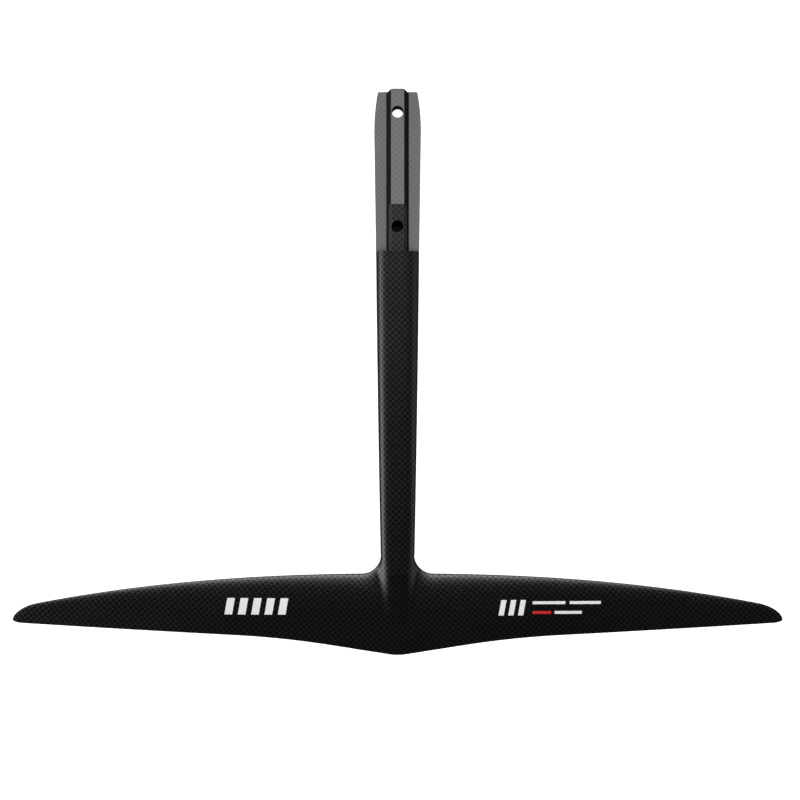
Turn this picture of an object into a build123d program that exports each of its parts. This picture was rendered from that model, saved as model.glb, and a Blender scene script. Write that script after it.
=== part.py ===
from build123d import *
from math import atan, cos, pi, sin, sqrt
import os

# Tail of a hydrofoil: a slender rear fuselage that carries a high-aspect stabiliser wing.
# The origin is the axis of the front bolt, on the parting plane of the two skins.
# X runs along the span, +Y towards the tenon's nose, +Z up. All lengths are in millimetres,
# and every "..._back" length is measured from the front bolt towards the wing.

# ---------------------------------------------------------------- driving dimensions
span = 420.0
root_chord = 44.43
leading_edge_back = 247.3
leading_edge_sweep = 19.85      # how far the leading edge would sweep back by the tip
sweep_power = 2.3
inner_trailing_slope = 0.157    # of the trailing edge, near the root
outer_trailing_slope = 0.0474   # of the trailing edge, near the tip
trailing_knee = 61.4            # where the two slopes would meet
trailing_blend = 26.0           # half the length of the curve between them
trailing_centre_radius = 30.0   # of the corner on the centre line
root_thickness = 5.3
tip_thickness_ratio = 0.10
trailing_edge_thickness = 0.5
droop = 10.3                    # of the tips below the parting plane
flat_centre = 24.0              # half the stretch of the span that doesn't droop
tip_round_length = 13.7
tip_point_aft = 26.2            # of the tips' outermost point, behind the root's leading edge
tip_aft_round_length = 5.3
round_pull = 0.55               # reach of a round tip's handles; 0.55 is close to a quarter circle

junction_radius = 10.4          # plan-view curve from the boom to the leading edge
boom_front_half_width = 11.66
boom_rear_half_width = 8.96
boom_rear_half_height = 5.8
boom_tail_half_width = 6.6
boom_tail_half_height = 1.6
section_power = 3.3             # squareness of the boom's rounded section
boom_taper_bow = 0.36           # share of the boom's taper in plan that gathers towards its rear
boom_fall_power = 1.15          # above 1, the boom's height falls more slowly at its front
fairing_share = 0.56            # of the root chord: how far the boom runs on over the wing
fairing_fall_power = 0.9
strake_turn = 0.98              # share of the junction curve kept before it runs into the boom

nose_front = 12.5               # the tenon's front end, ahead of the front bolt
heel_length = 13.1              # of the tenon, behind the rear bolt
tenon_nose_half_width = 10.7
tenon_belly_half_width = 12.6
tenon_belly_back = 8.6
body_half_height = 11.0
rail_height = 11.0
rail_cheek = 0.425              # of the rail's top, each side of a bolt hole
rail_flare = 2.025              # how much further out the rail's foot is than its top, each side
rail_foot_fillet = 0.6
rail_nose_chamfer = 0.5

bolt_spacing = 61.0
bolt_hole_radius = 3.1
bolt_head_recess_radius = 5.5
insert_radius = 4.0
insert_minor_radius = 2.5
insert_length = 10.0
insert_depth = 8.0              # of the insert's top below the rail's top

skin = 0.6
bond = 0.05                     # glue line between a skin and what it covers
spar_cap_thickness = 0.5
boom_cap_thickness = 1.2
boom_cap_half_width = 6.0
plug_length = 38.0
root_block_half_width = 14.0
root_block_front = 16.0         # the root block's front end, ahead of the leading edge
cavity_reach = 0.80             # of the half span: beyond it the skins lie on each other
cavity_root = (0.03, 0.86)      # of the chord: the hollow's front and rear at the root
cavity_tip = (0.12, 0.58)       # and at its outer end
cap_reach = 0.62                # of the half span: the length of the wing's spar caps
cap_front = 0.30                # of the chord
cap_rear = 0.52
cap_tip_share = 0.5             # thickness of a spar cap at its outer end, as a share of the root's
bead_front = 0.115              # of the chord, where the leading-edge bead ends
bead_rear = 0.70                # of the chord, where the trailing-edge bead starts

film = 0.08                     # thickness of the printed marks
mark_corner = 0.2               # of a mark's height: the radius of its corners
left_mark_aft = 17.7            # of its centre, behind the root's leading edge
right_marks_aft = 18.4
left_mark = (-94.2, -58.1, 9.7)       # first X, last X, height along Y
right_block = (53.4, 70.2, 9.1)
right_bar = (72.4, 110.9, 4.4)
right_red_bar = (72.4, 83.3, 4.4)
right_short_bar = (84.1, 100.1, 4.4)
bar_gap = 0.9                   # between the two rows of bars

# ---------------------------------------------------------------- values worked out from them
half_span = span / 2
tip_point_back = leading_edge_back + tip_point_aft
left_mark_back = leading_edge_back + left_mark_aft
right_marks_back = leading_edge_back + right_marks_aft
shoulder_back = bolt_spacing + heel_length
rail_top_width = 2 * (bolt_hole_radius + rail_cheek)
rail_foot_width = rail_top_width + 2 * rail_flare
max_thickness_at = 0.3          # of the chord
high = 60.0                     # taller than anything here: for tools that cut right through
wide = span                     # wider than either half, for the same use
section_gap = 8.0               # least distance between the last two sections of a loft
clear_ahead = -0.5              # shares of the chord that lie clear of the wing, before and behind
clear_behind = 1.2
fairing_end_back = leading_edge_back + fairing_share * root_chord


def leading_edge(x):
    """Y of the wing's leading edge, without the curve that joins it to the boom."""
    return -leading_edge_back - leading_edge_sweep * (abs(x) / half_span) ** sweep_power


def trailing_edge(x):
    """Y of the wing's trailing edge: two straight stretches with a curve between them."""
    root = -leading_edge_back - root_chord
    turn = inner_trailing_slope - outer_trailing_slope
    past = abs(x) - (trailing_knee - trailing_blend)
    lost = turn * min(max(past, 0), 2 * trailing_blend) ** 2 / (4 * trailing_blend)
    lost += turn * max(past - 2 * trailing_blend, 0)
    return root + inner_trailing_slope * abs(x) - lost


def chord(x):
    return leading_edge(x) - trailing_edge(x)


def thickness(x):
    """Full thickness: the ratio to the chord falls steadily from the root to the tip."""
    root_ratio = root_thickness / root_chord
    share = abs(x) / half_span
    return chord(x) * (root_ratio + (tip_thickness_ratio - root_ratio) * share)


def parting(x):
    """Z of the surface on which the skins meet."""
    share = max(abs(x) - flat_centre, 0) / (half_span - flat_centre)
    return -droop * share**2


def section_shape(k):
    """Half thickness of the aerofoil at a share k of its chord, for a thickness of 1."""
    curve = 0.2969 * sqrt(k) - 0.1260 * k - 0.3516 * k**2 + 0.2843 * k**3 - 0.1036 * k**4
    return 5 * curve


def strake_front(x):
    """Y of the front of the section at x, with the round corner beside the boom."""
    corner_x = boom_rear_half_width + junction_radius
    if abs(x) >= corner_x:
        return leading_edge(x)
    centre_y = leading_edge(corner_x) + junction_radius
    steepest = strake_turn * junction_radius
    inward = corner_x - abs(x)
    if inward <= steepest:
        return centre_y - sqrt(junction_radius**2 - inward**2)
    slope = steepest / sqrt(junction_radius**2 - steepest**2)
    return centre_y - sqrt(junction_radius**2 - steepest**2) + slope * (inward - steepest)


def wing_point(x, k, inset, side):
    """Point of the wing's surface (side 1: upper, -1: lower) at a share k of the chord.

    The stretch ahead of the thickest point reaches forward to the strake's front.
    """
    thickest = leading_edge(x) - max_thickness_at * chord(x)
    if k < max_thickness_at:
        y = thickest + (strake_front(x) - thickest) * (1 - k / max_thickness_at)
    else:
        y = leading_edge(x) - k * chord(x)
    z = thickness(x) * section_shape(k) + k * trailing_edge_thickness / 2 - inset
    return (y, parting(x) + side * z)


def wing_shares(front, rear, count=10):
    """Shares of the chord from front to rear, closer together at the front."""
    return [front + (rear - front) * (1 - cos(pi / 2 * i / count)) for i in range(count + 1)]


def wing_plane(x):
    return Plane(origin=(x, 0, 0), x_dir=(0, 1, 0), z_dir=(1, 0, 0))


def boom_plane(y):
    return Plane(origin=(0, y, 0), x_dir=(1, 0, 0), z_dir=(0, -1, 0))


centre_corner = boom_rear_half_width + junction_radius
centre_shares = (0.0, 0.55, 0.86, 0.94, 1.0, 1.1, 1.25, 1.5, 1.75, 2.1)
centre_stations = [boom_rear_half_width * s for s in centre_shares if
                   boom_rear_half_width * s < centre_corner] + [centre_corner, flat_centre]
outer_stations = [flat_centre + (half_span - flat_centre) * s for s in
                  (0.0, 0.08, 0.16, 0.24, 0.34, 0.45, 0.58, 0.72, 0.86, 1.0)]


def wing_panel(stations, side):
    """Solid half panel between the parting surface and one face of the wing."""
    with BuildPart() as panel:
        for x in stations:
            points = [wing_point(x, k, 0, side) for k in wing_shares(0, 1)]
            front = points[0]
            last = points[-1]
            middle = (last[0], parting(x))
            with BuildSketch(wing_plane(x)):
                with BuildLine():
                    Spline(*points)
                    Polyline(last, middle, front)
                make_face()
        loft(ruled=True)
    return panel.part


def half_wing(side):
    """One face of the whole wing, down (or up) to the parting surface, with round tips."""
    knuckle = half_span - tip_round_length
    aft_knuckle = half_span - tip_aft_round_length
    tip = (half_span, -tip_point_back)
    front = (knuckle, leading_edge(knuckle))
    rear = (aft_knuckle, trailing_edge(aft_knuckle))
    lean = leading_edge(knuckle + 1) - leading_edge(knuckle)
    reach = round_pull * tip_round_length
    turn = atan(inner_trailing_slope)
    round_x = trailing_centre_radius * sin(turn)
    round_y = trailing_edge(0) + trailing_centre_radius * (1 / cos(turn) - 1)
    mid_x = trailing_centre_radius * sin(turn / 2)
    mid_y = round_y + trailing_centre_radius * (1 - cos(turn / 2))
    with BuildPart() as wing:
        add(wing_panel(centre_stations, side))
        add(wing_panel(outer_stations, side))
        with BuildSketch():
            with BuildLine():
                Bezier(
                    front,
                    (front[0] + reach, front[1] + reach * lean),
                    (tip[0], tip[1] + round_pull * (front[1] - tip[1])),
                    tip,
                )
                Bezier(
                    tip,
                    (tip[0], tip[1] + round_pull * (rear[1] - tip[1])),
                    (tip[0] - round_pull * (tip[0] - rear[0]), rear[1]),
                    rear,
                )
                Polyline(rear, (rear[0], -wide), (round_x, -wide), (round_x, trailing_edge(round_x)))
                ThreePointArc((round_x, trailing_edge(round_x)), (mid_x, mid_y), (0, round_y))
                Polyline((0, round_y), (-wide, round_y), (-wide, wide), (front[0], wide), front)
            make_face()
        extrude(amount=high, both=True, mode=Mode.INTERSECT)
        mirror(about=Plane.YZ)
    return wing.part


def boom_half_width(y):
    """Half width of the boom and of the fairing that it fades into over the wing."""
    share = (-y - shoulder_back) / (leading_edge_back - shoulder_back)
    if share <= 1:
        taper = boom_front_half_width - boom_rear_half_width
        bowed = (1 - boom_taper_bow) * share + boom_taper_bow * share**2
        return boom_front_half_width - taper * bowed
    aft = (-y - leading_edge_back) / (fairing_end_back - leading_edge_back)
    return boom_rear_half_width - (boom_rear_half_width - boom_tail_half_width) * aft


def boom_half_height(y):
    share = (-y - shoulder_back) / (leading_edge_back - shoulder_back)
    if share <= 1:
        fall = body_half_height - boom_rear_half_height
        return body_half_height - fall * share**boom_fall_power
    aft = (-y - leading_edge_back) / (fairing_end_back - leading_edge_back)
    fall = boom_rear_half_height - boom_tail_half_height
    return boom_rear_half_height - fall * aft**fairing_fall_power


boom_stations = [-shoulder_back - (leading_edge_back - shoulder_back) * i / 5 for i in range(6)]
boom_stations += [-leading_edge_back - (fairing_end_back - leading_edge_back) * s
                  for s in (0.33, 0.66, 1.0)]


def round_half(half_width, half_height, side, count=7):
    """Points of half a rounded section, from +X over the top (or bottom) to -X."""
    points = []
    for i in range(2 * count + 1):
        angle = pi * i / (2 * count)
        across = abs(cos(angle)) ** (2 / section_power)
        up = sin(angle) ** (2 / section_power) if 0 < i < 2 * count else 0.0
        way = 1 if i < count else -1
        points.append((way * half_width * across, side * half_height * up))
    return points


def round_body(stations, half_width, half_height, inset, side):
    """Loft of half sections from the parting plane outwards, moved in by inset."""
    with BuildPart() as body:
        for y in stations:
            outline = round_half(half_width(y) - inset, half_height(y) - inset, side)
            with BuildSketch(boom_plane(y)):
                with BuildLine():
                    Spline(*outline)
                    Line(outline[-1], outline[0])
                make_face()
        loft(ruled=True)
    return body.part


def wing_space(inset):
    """The space inside the wing's skins, where it is thick enough to have one."""
    reach = cavity_reach * half_span
    outer = [x for x in outer_stations if x < reach - section_gap] + [reach]
    panels = []
    for group in (centre_stations, outer):
        with BuildPart() as panel:
            for x in group:
                share = x / reach
                first = cavity_root[0] + (cavity_tip[0] - cavity_root[0]) * share
                last = cavity_root[1] + (cavity_tip[1] - cavity_root[1]) * share
                shares = wing_shares(first, last, 8)
                upper = [wing_point(x, k, inset, 1) for k in shares]
                lower = [wing_point(x, k, inset, -1) for k in reversed(shares)]
                with BuildSketch(wing_plane(x)):
                    with BuildLine():
                        Spline(*upper)
                        Line(upper[-1], lower[0])
                        Spline(*lower)
                        Line(lower[-1], upper[0])
                    make_face()
            loft(ruled=True)
        panels.append(panel.part)
    with BuildPart() as space:
        for panel_part in panels:
            add(panel_part)
        mirror(about=Plane.YZ)
    return space.part


def boom_space(inset, front_back):
    """The space inside the boom's skins, from front_back to the end of the fairing."""
    with BuildPart() as space:
        add(round_body(boom_stations, boom_half_width, boom_half_height, inset, 1))
        add(round_body(boom_stations, boom_half_width, boom_half_height, inset, -1))
        with Locations((0, -front_back - wide / 2, 0)):
            Box(wide, wide, high, mode=Mode.INTERSECT)
    return space.part


# ---------------------------------------------------------------- the two skins
def outer_half(side):
    with BuildPart() as half:
        add(half_wing(side))
        add(round_body(boom_stations, boom_half_width, boom_half_height, 0, side))
    return half.part


wing_cavity = wing_space(skin)
boom_cavity = boom_space(skin, shoulder_back)

with BuildPart() as upper_skin:
    add(outer_half(1))
    add(boom_cavity, mode=Mode.SUBTRACT)
    add(wing_cavity, mode=Mode.SUBTRACT)

with BuildPart() as lower_skin:
    add(outer_half(-1))
    add(boom_cavity, mode=Mode.SUBTRACT)
    add(wing_cavity, mode=Mode.SUBTRACT)

# ---------------------------------------------------------------- tenon, rail and plug
tenon_length = nose_front + shoulder_back
tenon_stations = [nose_front - tenon_length * s for s in
                  (0.0, 0.05, 0.11, 0.18, 0.25, 0.42, 0.60, 0.80, 1.0)]


def tenon_half_width(y):
    """The tenon swells from its nose to the belly, then narrows to meet the boom."""
    if y > -tenon_belly_back:
        share = (y + tenon_belly_back) / (nose_front + tenon_belly_back)
        return tenon_belly_half_width - (tenon_belly_half_width - tenon_nose_half_width) * share**2
    share = (-tenon_belly_back - y) / (shoulder_back - tenon_belly_back)
    return tenon_belly_half_width - (tenon_belly_half_width - boom_front_half_width) * share


def tenon_half_height(y):
    """The tenon keeps the height of the boom's shoulder up to its nose."""
    return body_half_height


insert_top = rail_height - insert_depth
insert_bottom = insert_top - insert_length
rear_bolt = (0, -bolt_spacing)

with BuildPart() as plug:
    add(boom_space(skin + bond, shoulder_back))
    with Locations((0, -shoulder_back - plug_length / 2, 0)):
        Box(wide, plug_length, high, mode=Mode.INTERSECT)

with BuildPart() as tenon_block:
    add(round_body(tenon_stations, tenon_half_width, tenon_half_height, 0, -1))
    with BuildSketch(boom_plane(nose_front)):
        with BuildLine():
            Polyline(
                (-rail_foot_width / 2, 0),
                (-rail_top_width / 2, rail_height),
                (rail_top_width / 2, rail_height),
                (rail_foot_width / 2, 0),
                close=True,
            )
        make_face()
    extrude(amount=tenon_length)
    foot = tenon_block.edges().filter_by(Axis.Y).filter_by_position(Axis.Z, -0.1, 0.1)
    foot = foot.filter_by_position(Axis.X, -rail_foot_width / 2 - 0.1, rail_foot_width / 2 + 0.1)
    fillet(foot, rail_foot_fillet)
    nose_edge = tenon_block.edges().filter_by(Axis.X).group_by(Axis.Z)[-1].sort_by(Axis.Y)[-1]
    chamfer(nose_edge, rail_nose_chamfer)
    add(plug.part)
    with Locations(Location((0, 0, -body_half_height), (180, 0, 0))):
        CounterBoreHole(bolt_hole_radius, bolt_head_recess_radius, body_half_height)
    with Locations((*rear_bolt, rail_height)):
        Hole(bolt_hole_radius, insert_depth)
    with Locations((*rear_bolt, (insert_top + insert_bottom) / 2)):
        Cylinder(insert_radius + bond, insert_length + 2 * bond, mode=Mode.SUBTRACT)

with BuildPart() as rear_thread_insert:
    with Locations((*rear_bolt, (insert_top + insert_bottom) / 2)):
        Cylinder(insert_radius, insert_length)
        Hole(insert_minor_radius)

# ---------------------------------------------------------------- what the skins close over
wing_fill = wing_space(skin + bond)
boom_fill = boom_space(skin + bond, shoulder_back + plug_length)
block_front_y = -leading_edge_back + root_block_front


def strip(front, rear, first_x, last_x):
    """Plan-view tool between two shares of the chord, from one X to another."""
    xs = [first_x + (last_x - first_x) * i / 8 for i in range(9)]
    ahead = [(x, leading_edge(x) - front * chord(x)) for x in xs]
    behind = [(x, leading_edge(x) - rear * chord(x)) for x in reversed(xs)]
    with BuildPart() as tool:
        with BuildSketch():
            with BuildLine():
                Spline(*ahead)
                Line(ahead[-1], behind[0])
                Spline(*behind)
                Line(behind[-1], ahead[0])
            make_face()
        extrude(amount=high, both=True)
    return tool.part


def cap_pocket(side):
    """Everything of the wing's fill above (or below) a spar cap's inner face."""
    reach = cap_reach * half_span
    outer = [x for x in outer_stations if x < reach - section_gap] + [reach]
    panels = []
    for group in (centre_stations, outer):
        with BuildPart() as panel:
            for x in group:
                taper = 1 - (1 - cap_tip_share) * x / reach
                shares = [cap_front + (cap_rear - cap_front) * i / 4 for i in range(5)]
                depth = skin + bond + spar_cap_thickness * taper
                inner = [wing_point(x, k, depth, side) for k in shares]
                far = parting(x) + side * high / 4
                with BuildSketch(wing_plane(x)):
                    with BuildLine():
                        Spline(*inner)
                        Polyline(inner[-1], (inner[-1][0], far), (inner[0][0], far), inner[0])
                    make_face()
            loft(ruled=True)
        panels.append(panel.part)
    with BuildPart() as pocket:
        for panel_part in panels:
            add(panel_part)
        mirror(about=Plane.YZ)
    return pocket.part


upper_pocket = cap_pocket(1)
lower_pocket = cap_pocket(-1)

with BuildPart() as wing_spar_cap_upper:
    add(wing_fill)
    add(upper_pocket, mode=Mode.INTERSECT)

with BuildPart() as wing_spar_cap_lower:
    add(wing_fill)
    add(lower_pocket, mode=Mode.INTERSECT)


def wing_piece(front, rear, way):
    """A piece of the wing's fill beside the root block; way is 1 on +X and -1 on -X."""
    with BuildPart() as piece:
        add(wing_fill)
        add(strip(front, rear, way * root_block_half_width, way * half_span), mode=Mode.INTERSECT)
        add(upper_pocket, mode=Mode.SUBTRACT)
        add(lower_pocket, mode=Mode.SUBTRACT)
    return piece


wing_core_right = wing_piece(bead_front, bead_rear, 1)
wing_core_left = wing_piece(bead_front, bead_rear, -1)
leading_edge_bead_right = wing_piece(clear_ahead, bead_front, 1)
leading_edge_bead_left = wing_piece(clear_ahead, bead_front, -1)
trailing_edge_bead_right = wing_piece(bead_rear, clear_behind, 1)
trailing_edge_bead_left = wing_piece(bead_rear, clear_behind, -1)

boom_span_back = shoulder_back + plug_length


def boom_cap_tool(side):
    """Side-view tool: everything outside a boom cap's inner face."""
    ys = [-boom_span_back + (block_front_y + boom_span_back) * i / 5 for i in range(6)]
    depth = skin + bond + boom_cap_thickness
    inner = [(y, side * (boom_half_height(y) - depth)) for y in ys]
    far = side * high / 4
    with BuildPart() as tool:
        with BuildSketch(Plane.YZ):
            with BuildLine():
                Spline(*inner)
                Polyline(inner[-1], (inner[-1][0], far), (inner[0][0], far), inner[0])
            make_face()
        extrude(amount=boom_cap_half_width, both=True)
    return tool.part


boom_upper_tool = boom_cap_tool(1)
boom_lower_tool = boom_cap_tool(-1)

with BuildPart() as boom_cap_upper:
    add(boom_fill)
    add(boom_upper_tool, mode=Mode.INTERSECT)

with BuildPart() as boom_cap_lower:
    add(boom_fill)
    add(boom_lower_tool, mode=Mode.INTERSECT)

with BuildPart() as boom_core:
    add(boom_fill)
    with Locations((0, (block_front_y - boom_span_back) / 2, 0)):
        Box(wide, -block_front_y - boom_span_back, high, mode=Mode.INTERSECT)
    add(boom_upper_tool, mode=Mode.SUBTRACT)
    add(boom_lower_tool, mode=Mode.SUBTRACT)

with BuildPart() as root_block:
    add(boom_fill)
    add(wing_fill)
    with Locations((0, block_front_y - wide / 2, 0)):
        Box(2 * root_block_half_width, wide, high, mode=Mode.INTERSECT)
    add(upper_pocket, mode=Mode.SUBTRACT)
    add(lower_pocket, mode=Mode.SUBTRACT)

# ---------------------------------------------------------------- printed marks
marked_wing = half_wing(1)


def printed_mark(first_x, last_x, height, centre_y):
    """A thin film that follows the wing's upper face."""
    with BuildPart() as mark:
        add(marked_wing.moved(Location((0, 0, film))))
        with BuildSketch():
            with Locations(((first_x + last_x) / 2, centre_y)):
                RectangleRounded(last_x - first_x, height, height * mark_corner)
        extrude(amount=high, both=True, mode=Mode.INTERSECT)
        add(marked_wing, mode=Mode.SUBTRACT)
    return mark


row_offset = (right_bar[2] + bar_gap) / 2
left_mark_film = printed_mark(*left_mark, -left_mark_back)
right_block_film = printed_mark(*right_block, -right_marks_back)
right_bar_film = printed_mark(*right_bar, -right_marks_back + row_offset)
right_red_film = printed_mark(*right_red_bar, -right_marks_back - row_offset)
right_short_film = printed_mark(*right_short_bar, -right_marks_back - row_offset)

# ---------------------------------------------------------------- one STEP file for each piece
pieces = {
    "upper_skin": upper_skin,
    "lower_skin": lower_skin,
    "tenon_block": tenon_block,
    "rear_thread_insert": rear_thread_insert,
    "boom_core": boom_core,
    "boom_cap_upper": boom_cap_upper,
    "boom_cap_lower": boom_cap_lower,
    "root_block": root_block,
    "wing_spar_cap_upper": wing_spar_cap_upper,
    "wing_spar_cap_lower": wing_spar_cap_lower,
    "wing_core_left": wing_core_left,
    "wing_core_right": wing_core_right,
    "leading_edge_bead_left": leading_edge_bead_left,
    "leading_edge_bead_right": leading_edge_bead_right,
    "trailing_edge_bead_left": trailing_edge_bead_left,
    "trailing_edge_bead_right": trailing_edge_bead_right,
    "mark_left": left_mark_film,
    "mark_right_block": right_block_film,
    "mark_right_long_bar": right_bar_film,
    "mark_right_red_bar": right_red_film,
    "mark_right_short_bar": right_short_film,
}

os.makedirs("parts", exist_ok=True)
for name, piece in pieces.items():
    piece.part.label = name
    export_step(piece.part, f"parts/{name}.step")
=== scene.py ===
"""Tail of a hydrofoil, moulded in carbon fibre: tenon, boom and stabiliser wing.

All lengths are in metres. The origin is the front bolt's axis on the parting plane of the two
skins, X runs along the span, +Y towards the tenon's nose and +Z up.
"""

import logging
import math
from collections.abc import Callable, Iterable
from dataclasses import dataclass, field
from enum import Enum

import bmesh
import bpy
from bmesh.types import BMEdge, BMesh, BMFace, BMVert
from bpy.types import Material, Node, NodeSocket, NodeTree, Object
from mathutils import Matrix, Vector


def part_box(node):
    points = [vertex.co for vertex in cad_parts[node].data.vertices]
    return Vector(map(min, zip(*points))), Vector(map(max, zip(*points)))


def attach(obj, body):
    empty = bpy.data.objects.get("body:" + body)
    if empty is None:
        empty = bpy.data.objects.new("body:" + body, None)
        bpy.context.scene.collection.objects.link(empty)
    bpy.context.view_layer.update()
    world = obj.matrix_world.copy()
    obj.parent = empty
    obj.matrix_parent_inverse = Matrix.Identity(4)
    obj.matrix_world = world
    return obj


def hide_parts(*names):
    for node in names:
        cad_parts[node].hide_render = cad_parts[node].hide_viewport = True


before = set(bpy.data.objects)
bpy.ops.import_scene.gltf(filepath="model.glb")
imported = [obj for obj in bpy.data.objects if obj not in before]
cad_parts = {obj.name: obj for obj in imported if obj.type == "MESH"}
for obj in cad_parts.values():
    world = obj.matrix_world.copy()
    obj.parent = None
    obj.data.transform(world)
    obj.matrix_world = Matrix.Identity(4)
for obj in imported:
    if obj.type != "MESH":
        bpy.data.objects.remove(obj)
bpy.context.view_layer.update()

MM = 0.001
AEROFOIL = (0.2969, -0.1260, -0.3516, 0.2843, -0.1036)  # terms in the root and powers of the chord's share
SIDES = ("left", "right")
Place = tuple[float, float]
Stretch = tuple[float, float, float]
Colour = tuple[float, float, float, float]
log = logging.getLogger("hydrofoil_tail")


def grey(level: float, blue: float) -> Colour:
    """Gives a grey with its own amount of blue."""
    return (level, level, blue, 1.0)


class Face(Enum):
    """The two moulded halves, by the way each one faces."""

    UPPER = 1
    LOWER = -1


class Way(Enum):
    """How a pattern's long direction lies on a hidden piece."""

    ALONG_SPAN = "span"
    ALONG_BOOM = "boom"


# ------------------------------------------------------------------ master lines


@dataclass(frozen=True)
class TailLines:
    """Master lines of the tail: its plan, thickness, droop and boom sections."""

    half_span: float = 210 * MM
    root_chord: float = 44.43 * MM
    leading_edge_back: float = 247.3 * MM
    sweep: float = 19.85 * MM
    sweep_power: float = 2.3
    inner_slope: float = 0.157
    outer_slope: float = 0.0474
    knee: float = 61.4 * MM
    blend: float = 26 * MM
    centre_radius: float = 30 * MM
    tip_round: float = 6.35 * MM
    tip_round_share: float = 0.935
    tip_rear_share: float = 0.975
    root_thickness: float = 5.3 * MM
    tip_ratio: float = 0.10
    edge_thickness: float = 0.5 * MM
    short_chord: float = 6 * MM
    thickest_share: float = 0.3
    droop: float = 10.3 * MM
    flat_centre: float = 24 * MM
    junction_radius: float = 10.4 * MM
    strake_turn: float = 0.98
    front_half_width: float = 11.66 * MM
    rear_half_width: float = 8.96 * MM
    tail_half_width: float = 6.6 * MM
    taper_bow: float = 0.36
    body_half_height: float = 11 * MM
    rear_half_height: float = 5.8 * MM
    tail_half_height: float = 1.6 * MM
    fall_power: float = 1.15
    fairing_fall_power: float = 0.9
    shoulder_back: float = 74.1 * MM
    fairing_length: float = 24.7 * MM
    fairing_run_out: float = 0.45
    section_power: float = 3.3
    spread_power: float = 5.0
    knee_share: float = 0.93
    knee_height: float = 0.626
    skin: float = 0.6 * MM

    @property
    def corner_x(self) -> float:
        """X at which the leading edge meets the curve beside the boom."""
        return self.rear_half_width + self.junction_radius

    @property
    def corner_y(self) -> float:
        """Y of the leading edge at that corner."""
        return self.front_edge(self.corner_x)

    @property
    def fillet_y(self) -> float:
        """Y of the centre of the curve beside the boom, where that curve starts."""
        return self.corner_y + self.junction_radius

    def front_edge(self, x: float) -> float:
        """Y of the leading edge.

        Args:
            x: Distance along the span.

        Returns:
            The edge's Y, with the tip's round.
        """
        share = min(abs(x) / self.half_span, 1.0)
        past = max((share - self.tip_round_share) / (1 - self.tip_round_share), 0.0)
        rounding = self.tip_round * (1 - math.sqrt(max(1 - past * past, 0.0)))
        return -self.leading_edge_back - self.sweep * share**self.sweep_power - rounding

    def plain_rear_edge(self, x: float) -> float:
        """Y of the trailing edge before its tip and centre are rounded."""
        root = -self.leading_edge_back - self.root_chord
        turn = self.inner_slope - self.outer_slope
        past = abs(x) - (self.knee - self.blend)
        lost = turn * min(max(past, 0.0), 2 * self.blend) ** 2 / (4 * self.blend)
        lost += turn * max(past - 2 * self.blend, 0.0)
        return root + self.inner_slope * abs(x) - lost

    def rear_edge(self, x: float) -> float:
        """Y of the trailing edge.

        Args:
            x: Distance along the span.

        Returns:
            The edge's Y, with the round at the centre and at the tips.
        """
        turn = math.atan(self.inner_slope)
        if abs(x) < self.centre_radius * math.sin(turn):
            centre = self.plain_rear_edge(0) + self.centre_radius / math.cos(turn)
            return centre - math.sqrt(self.centre_radius**2 - x * x)
        share = min(abs(x) / self.half_span, 1.0)
        past = max((share - self.tip_rear_share) / (1 - self.tip_rear_share), 0.0)
        meet = self.front_edge(self.half_span) - self.plain_rear_edge(self.half_span)
        return self.plain_rear_edge(x) + meet * (1 - math.sqrt(max(1 - past * past, 0.0)))

    def parting(self, x: float) -> float:
        """Z of the surface on which the two skins meet."""
        share = max(abs(x) - self.flat_centre, 0.0) / (self.half_span - self.flat_centre)
        return -self.droop * share**2

    def strake_front(self, x: float) -> float:
        """Y of the front of the wing's section at x, with the curve beside the boom."""
        inward = self.corner_x - abs(x)
        if inward <= 0:
            return self.front_edge(x)
        radius = self.junction_radius
        steepest = self.strake_turn * radius
        if inward <= steepest:
            return self.fillet_y - math.sqrt(radius**2 - inward**2)
        drop = math.sqrt(radius**2 - steepest**2)
        return self.fillet_y - drop + steepest / drop * (inward - steepest)

    def wing_rise(self, x: float, y: float) -> float:
        """Half thickness of the wing's aerofoil.

        Args:
            x: Distance along the span.
            y: Place along the chord.

        Returns:
            Height above the parting surface, or 0 ahead of the wing.
        """
        front = self.front_edge(x)
        chord = max(front - self.rear_edge(x), 0.0)
        if chord < 1e-6:
            return 0.0
        thickest = front - self.thickest_share * chord
        if y > thickest:
            reach = self.strake_front(x)
            k = self.thickest_share * max(1 - (y - thickest) / (reach - thickest), 0.0)
        else:
            k = min((front - y) / chord, 1.0)
        root_ratio = self.root_thickness / self.root_chord
        ratio = root_ratio + (self.tip_ratio - root_ratio) * abs(x) / self.half_span
        root_term, *terms = AEROFOIL
        shape = root_term * math.sqrt(k) + sum(term * k ** (i + 1) for i, term in enumerate(terms))
        edge = self.edge_thickness / 2 * min(chord / self.short_chord, 1.0)
        return 5 * ratio * chord * shape + k * edge

    def boom_half_width(self, y: float) -> float:
        """Half width of the boom, and of its fairing over the wing."""
        share = (-y - self.shoulder_back) / (self.leading_edge_back - self.shoulder_back)
        if share <= 1:
            taper = self.front_half_width - self.rear_half_width
            return self.front_half_width - taper * ((1 - self.taper_bow) * share + self.taper_bow * share**2)
        aft = (-y - self.leading_edge_back) / self.fairing_length
        return self.rear_half_width - (self.rear_half_width - self.tail_half_width) * aft

    def boom_half_height(self, y: float) -> float:
        """Half height of the boom, which fades out over the wing."""
        share = (-y - self.shoulder_back) / (self.leading_edge_back - self.shoulder_back)
        if share <= 1:
            fall = self.body_half_height - self.rear_half_height
            return self.body_half_height - fall * max(share, 0.0) ** self.fall_power
        aft = (-y - self.leading_edge_back) / self.fairing_length
        if aft <= 1:
            fall = self.rear_half_height - self.tail_half_height
            return self.rear_half_height - fall * aft**self.fairing_fall_power
        return self.tail_half_height * max(1 - (aft - 1) / self.fairing_run_out, 0.0) ** 2

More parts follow.
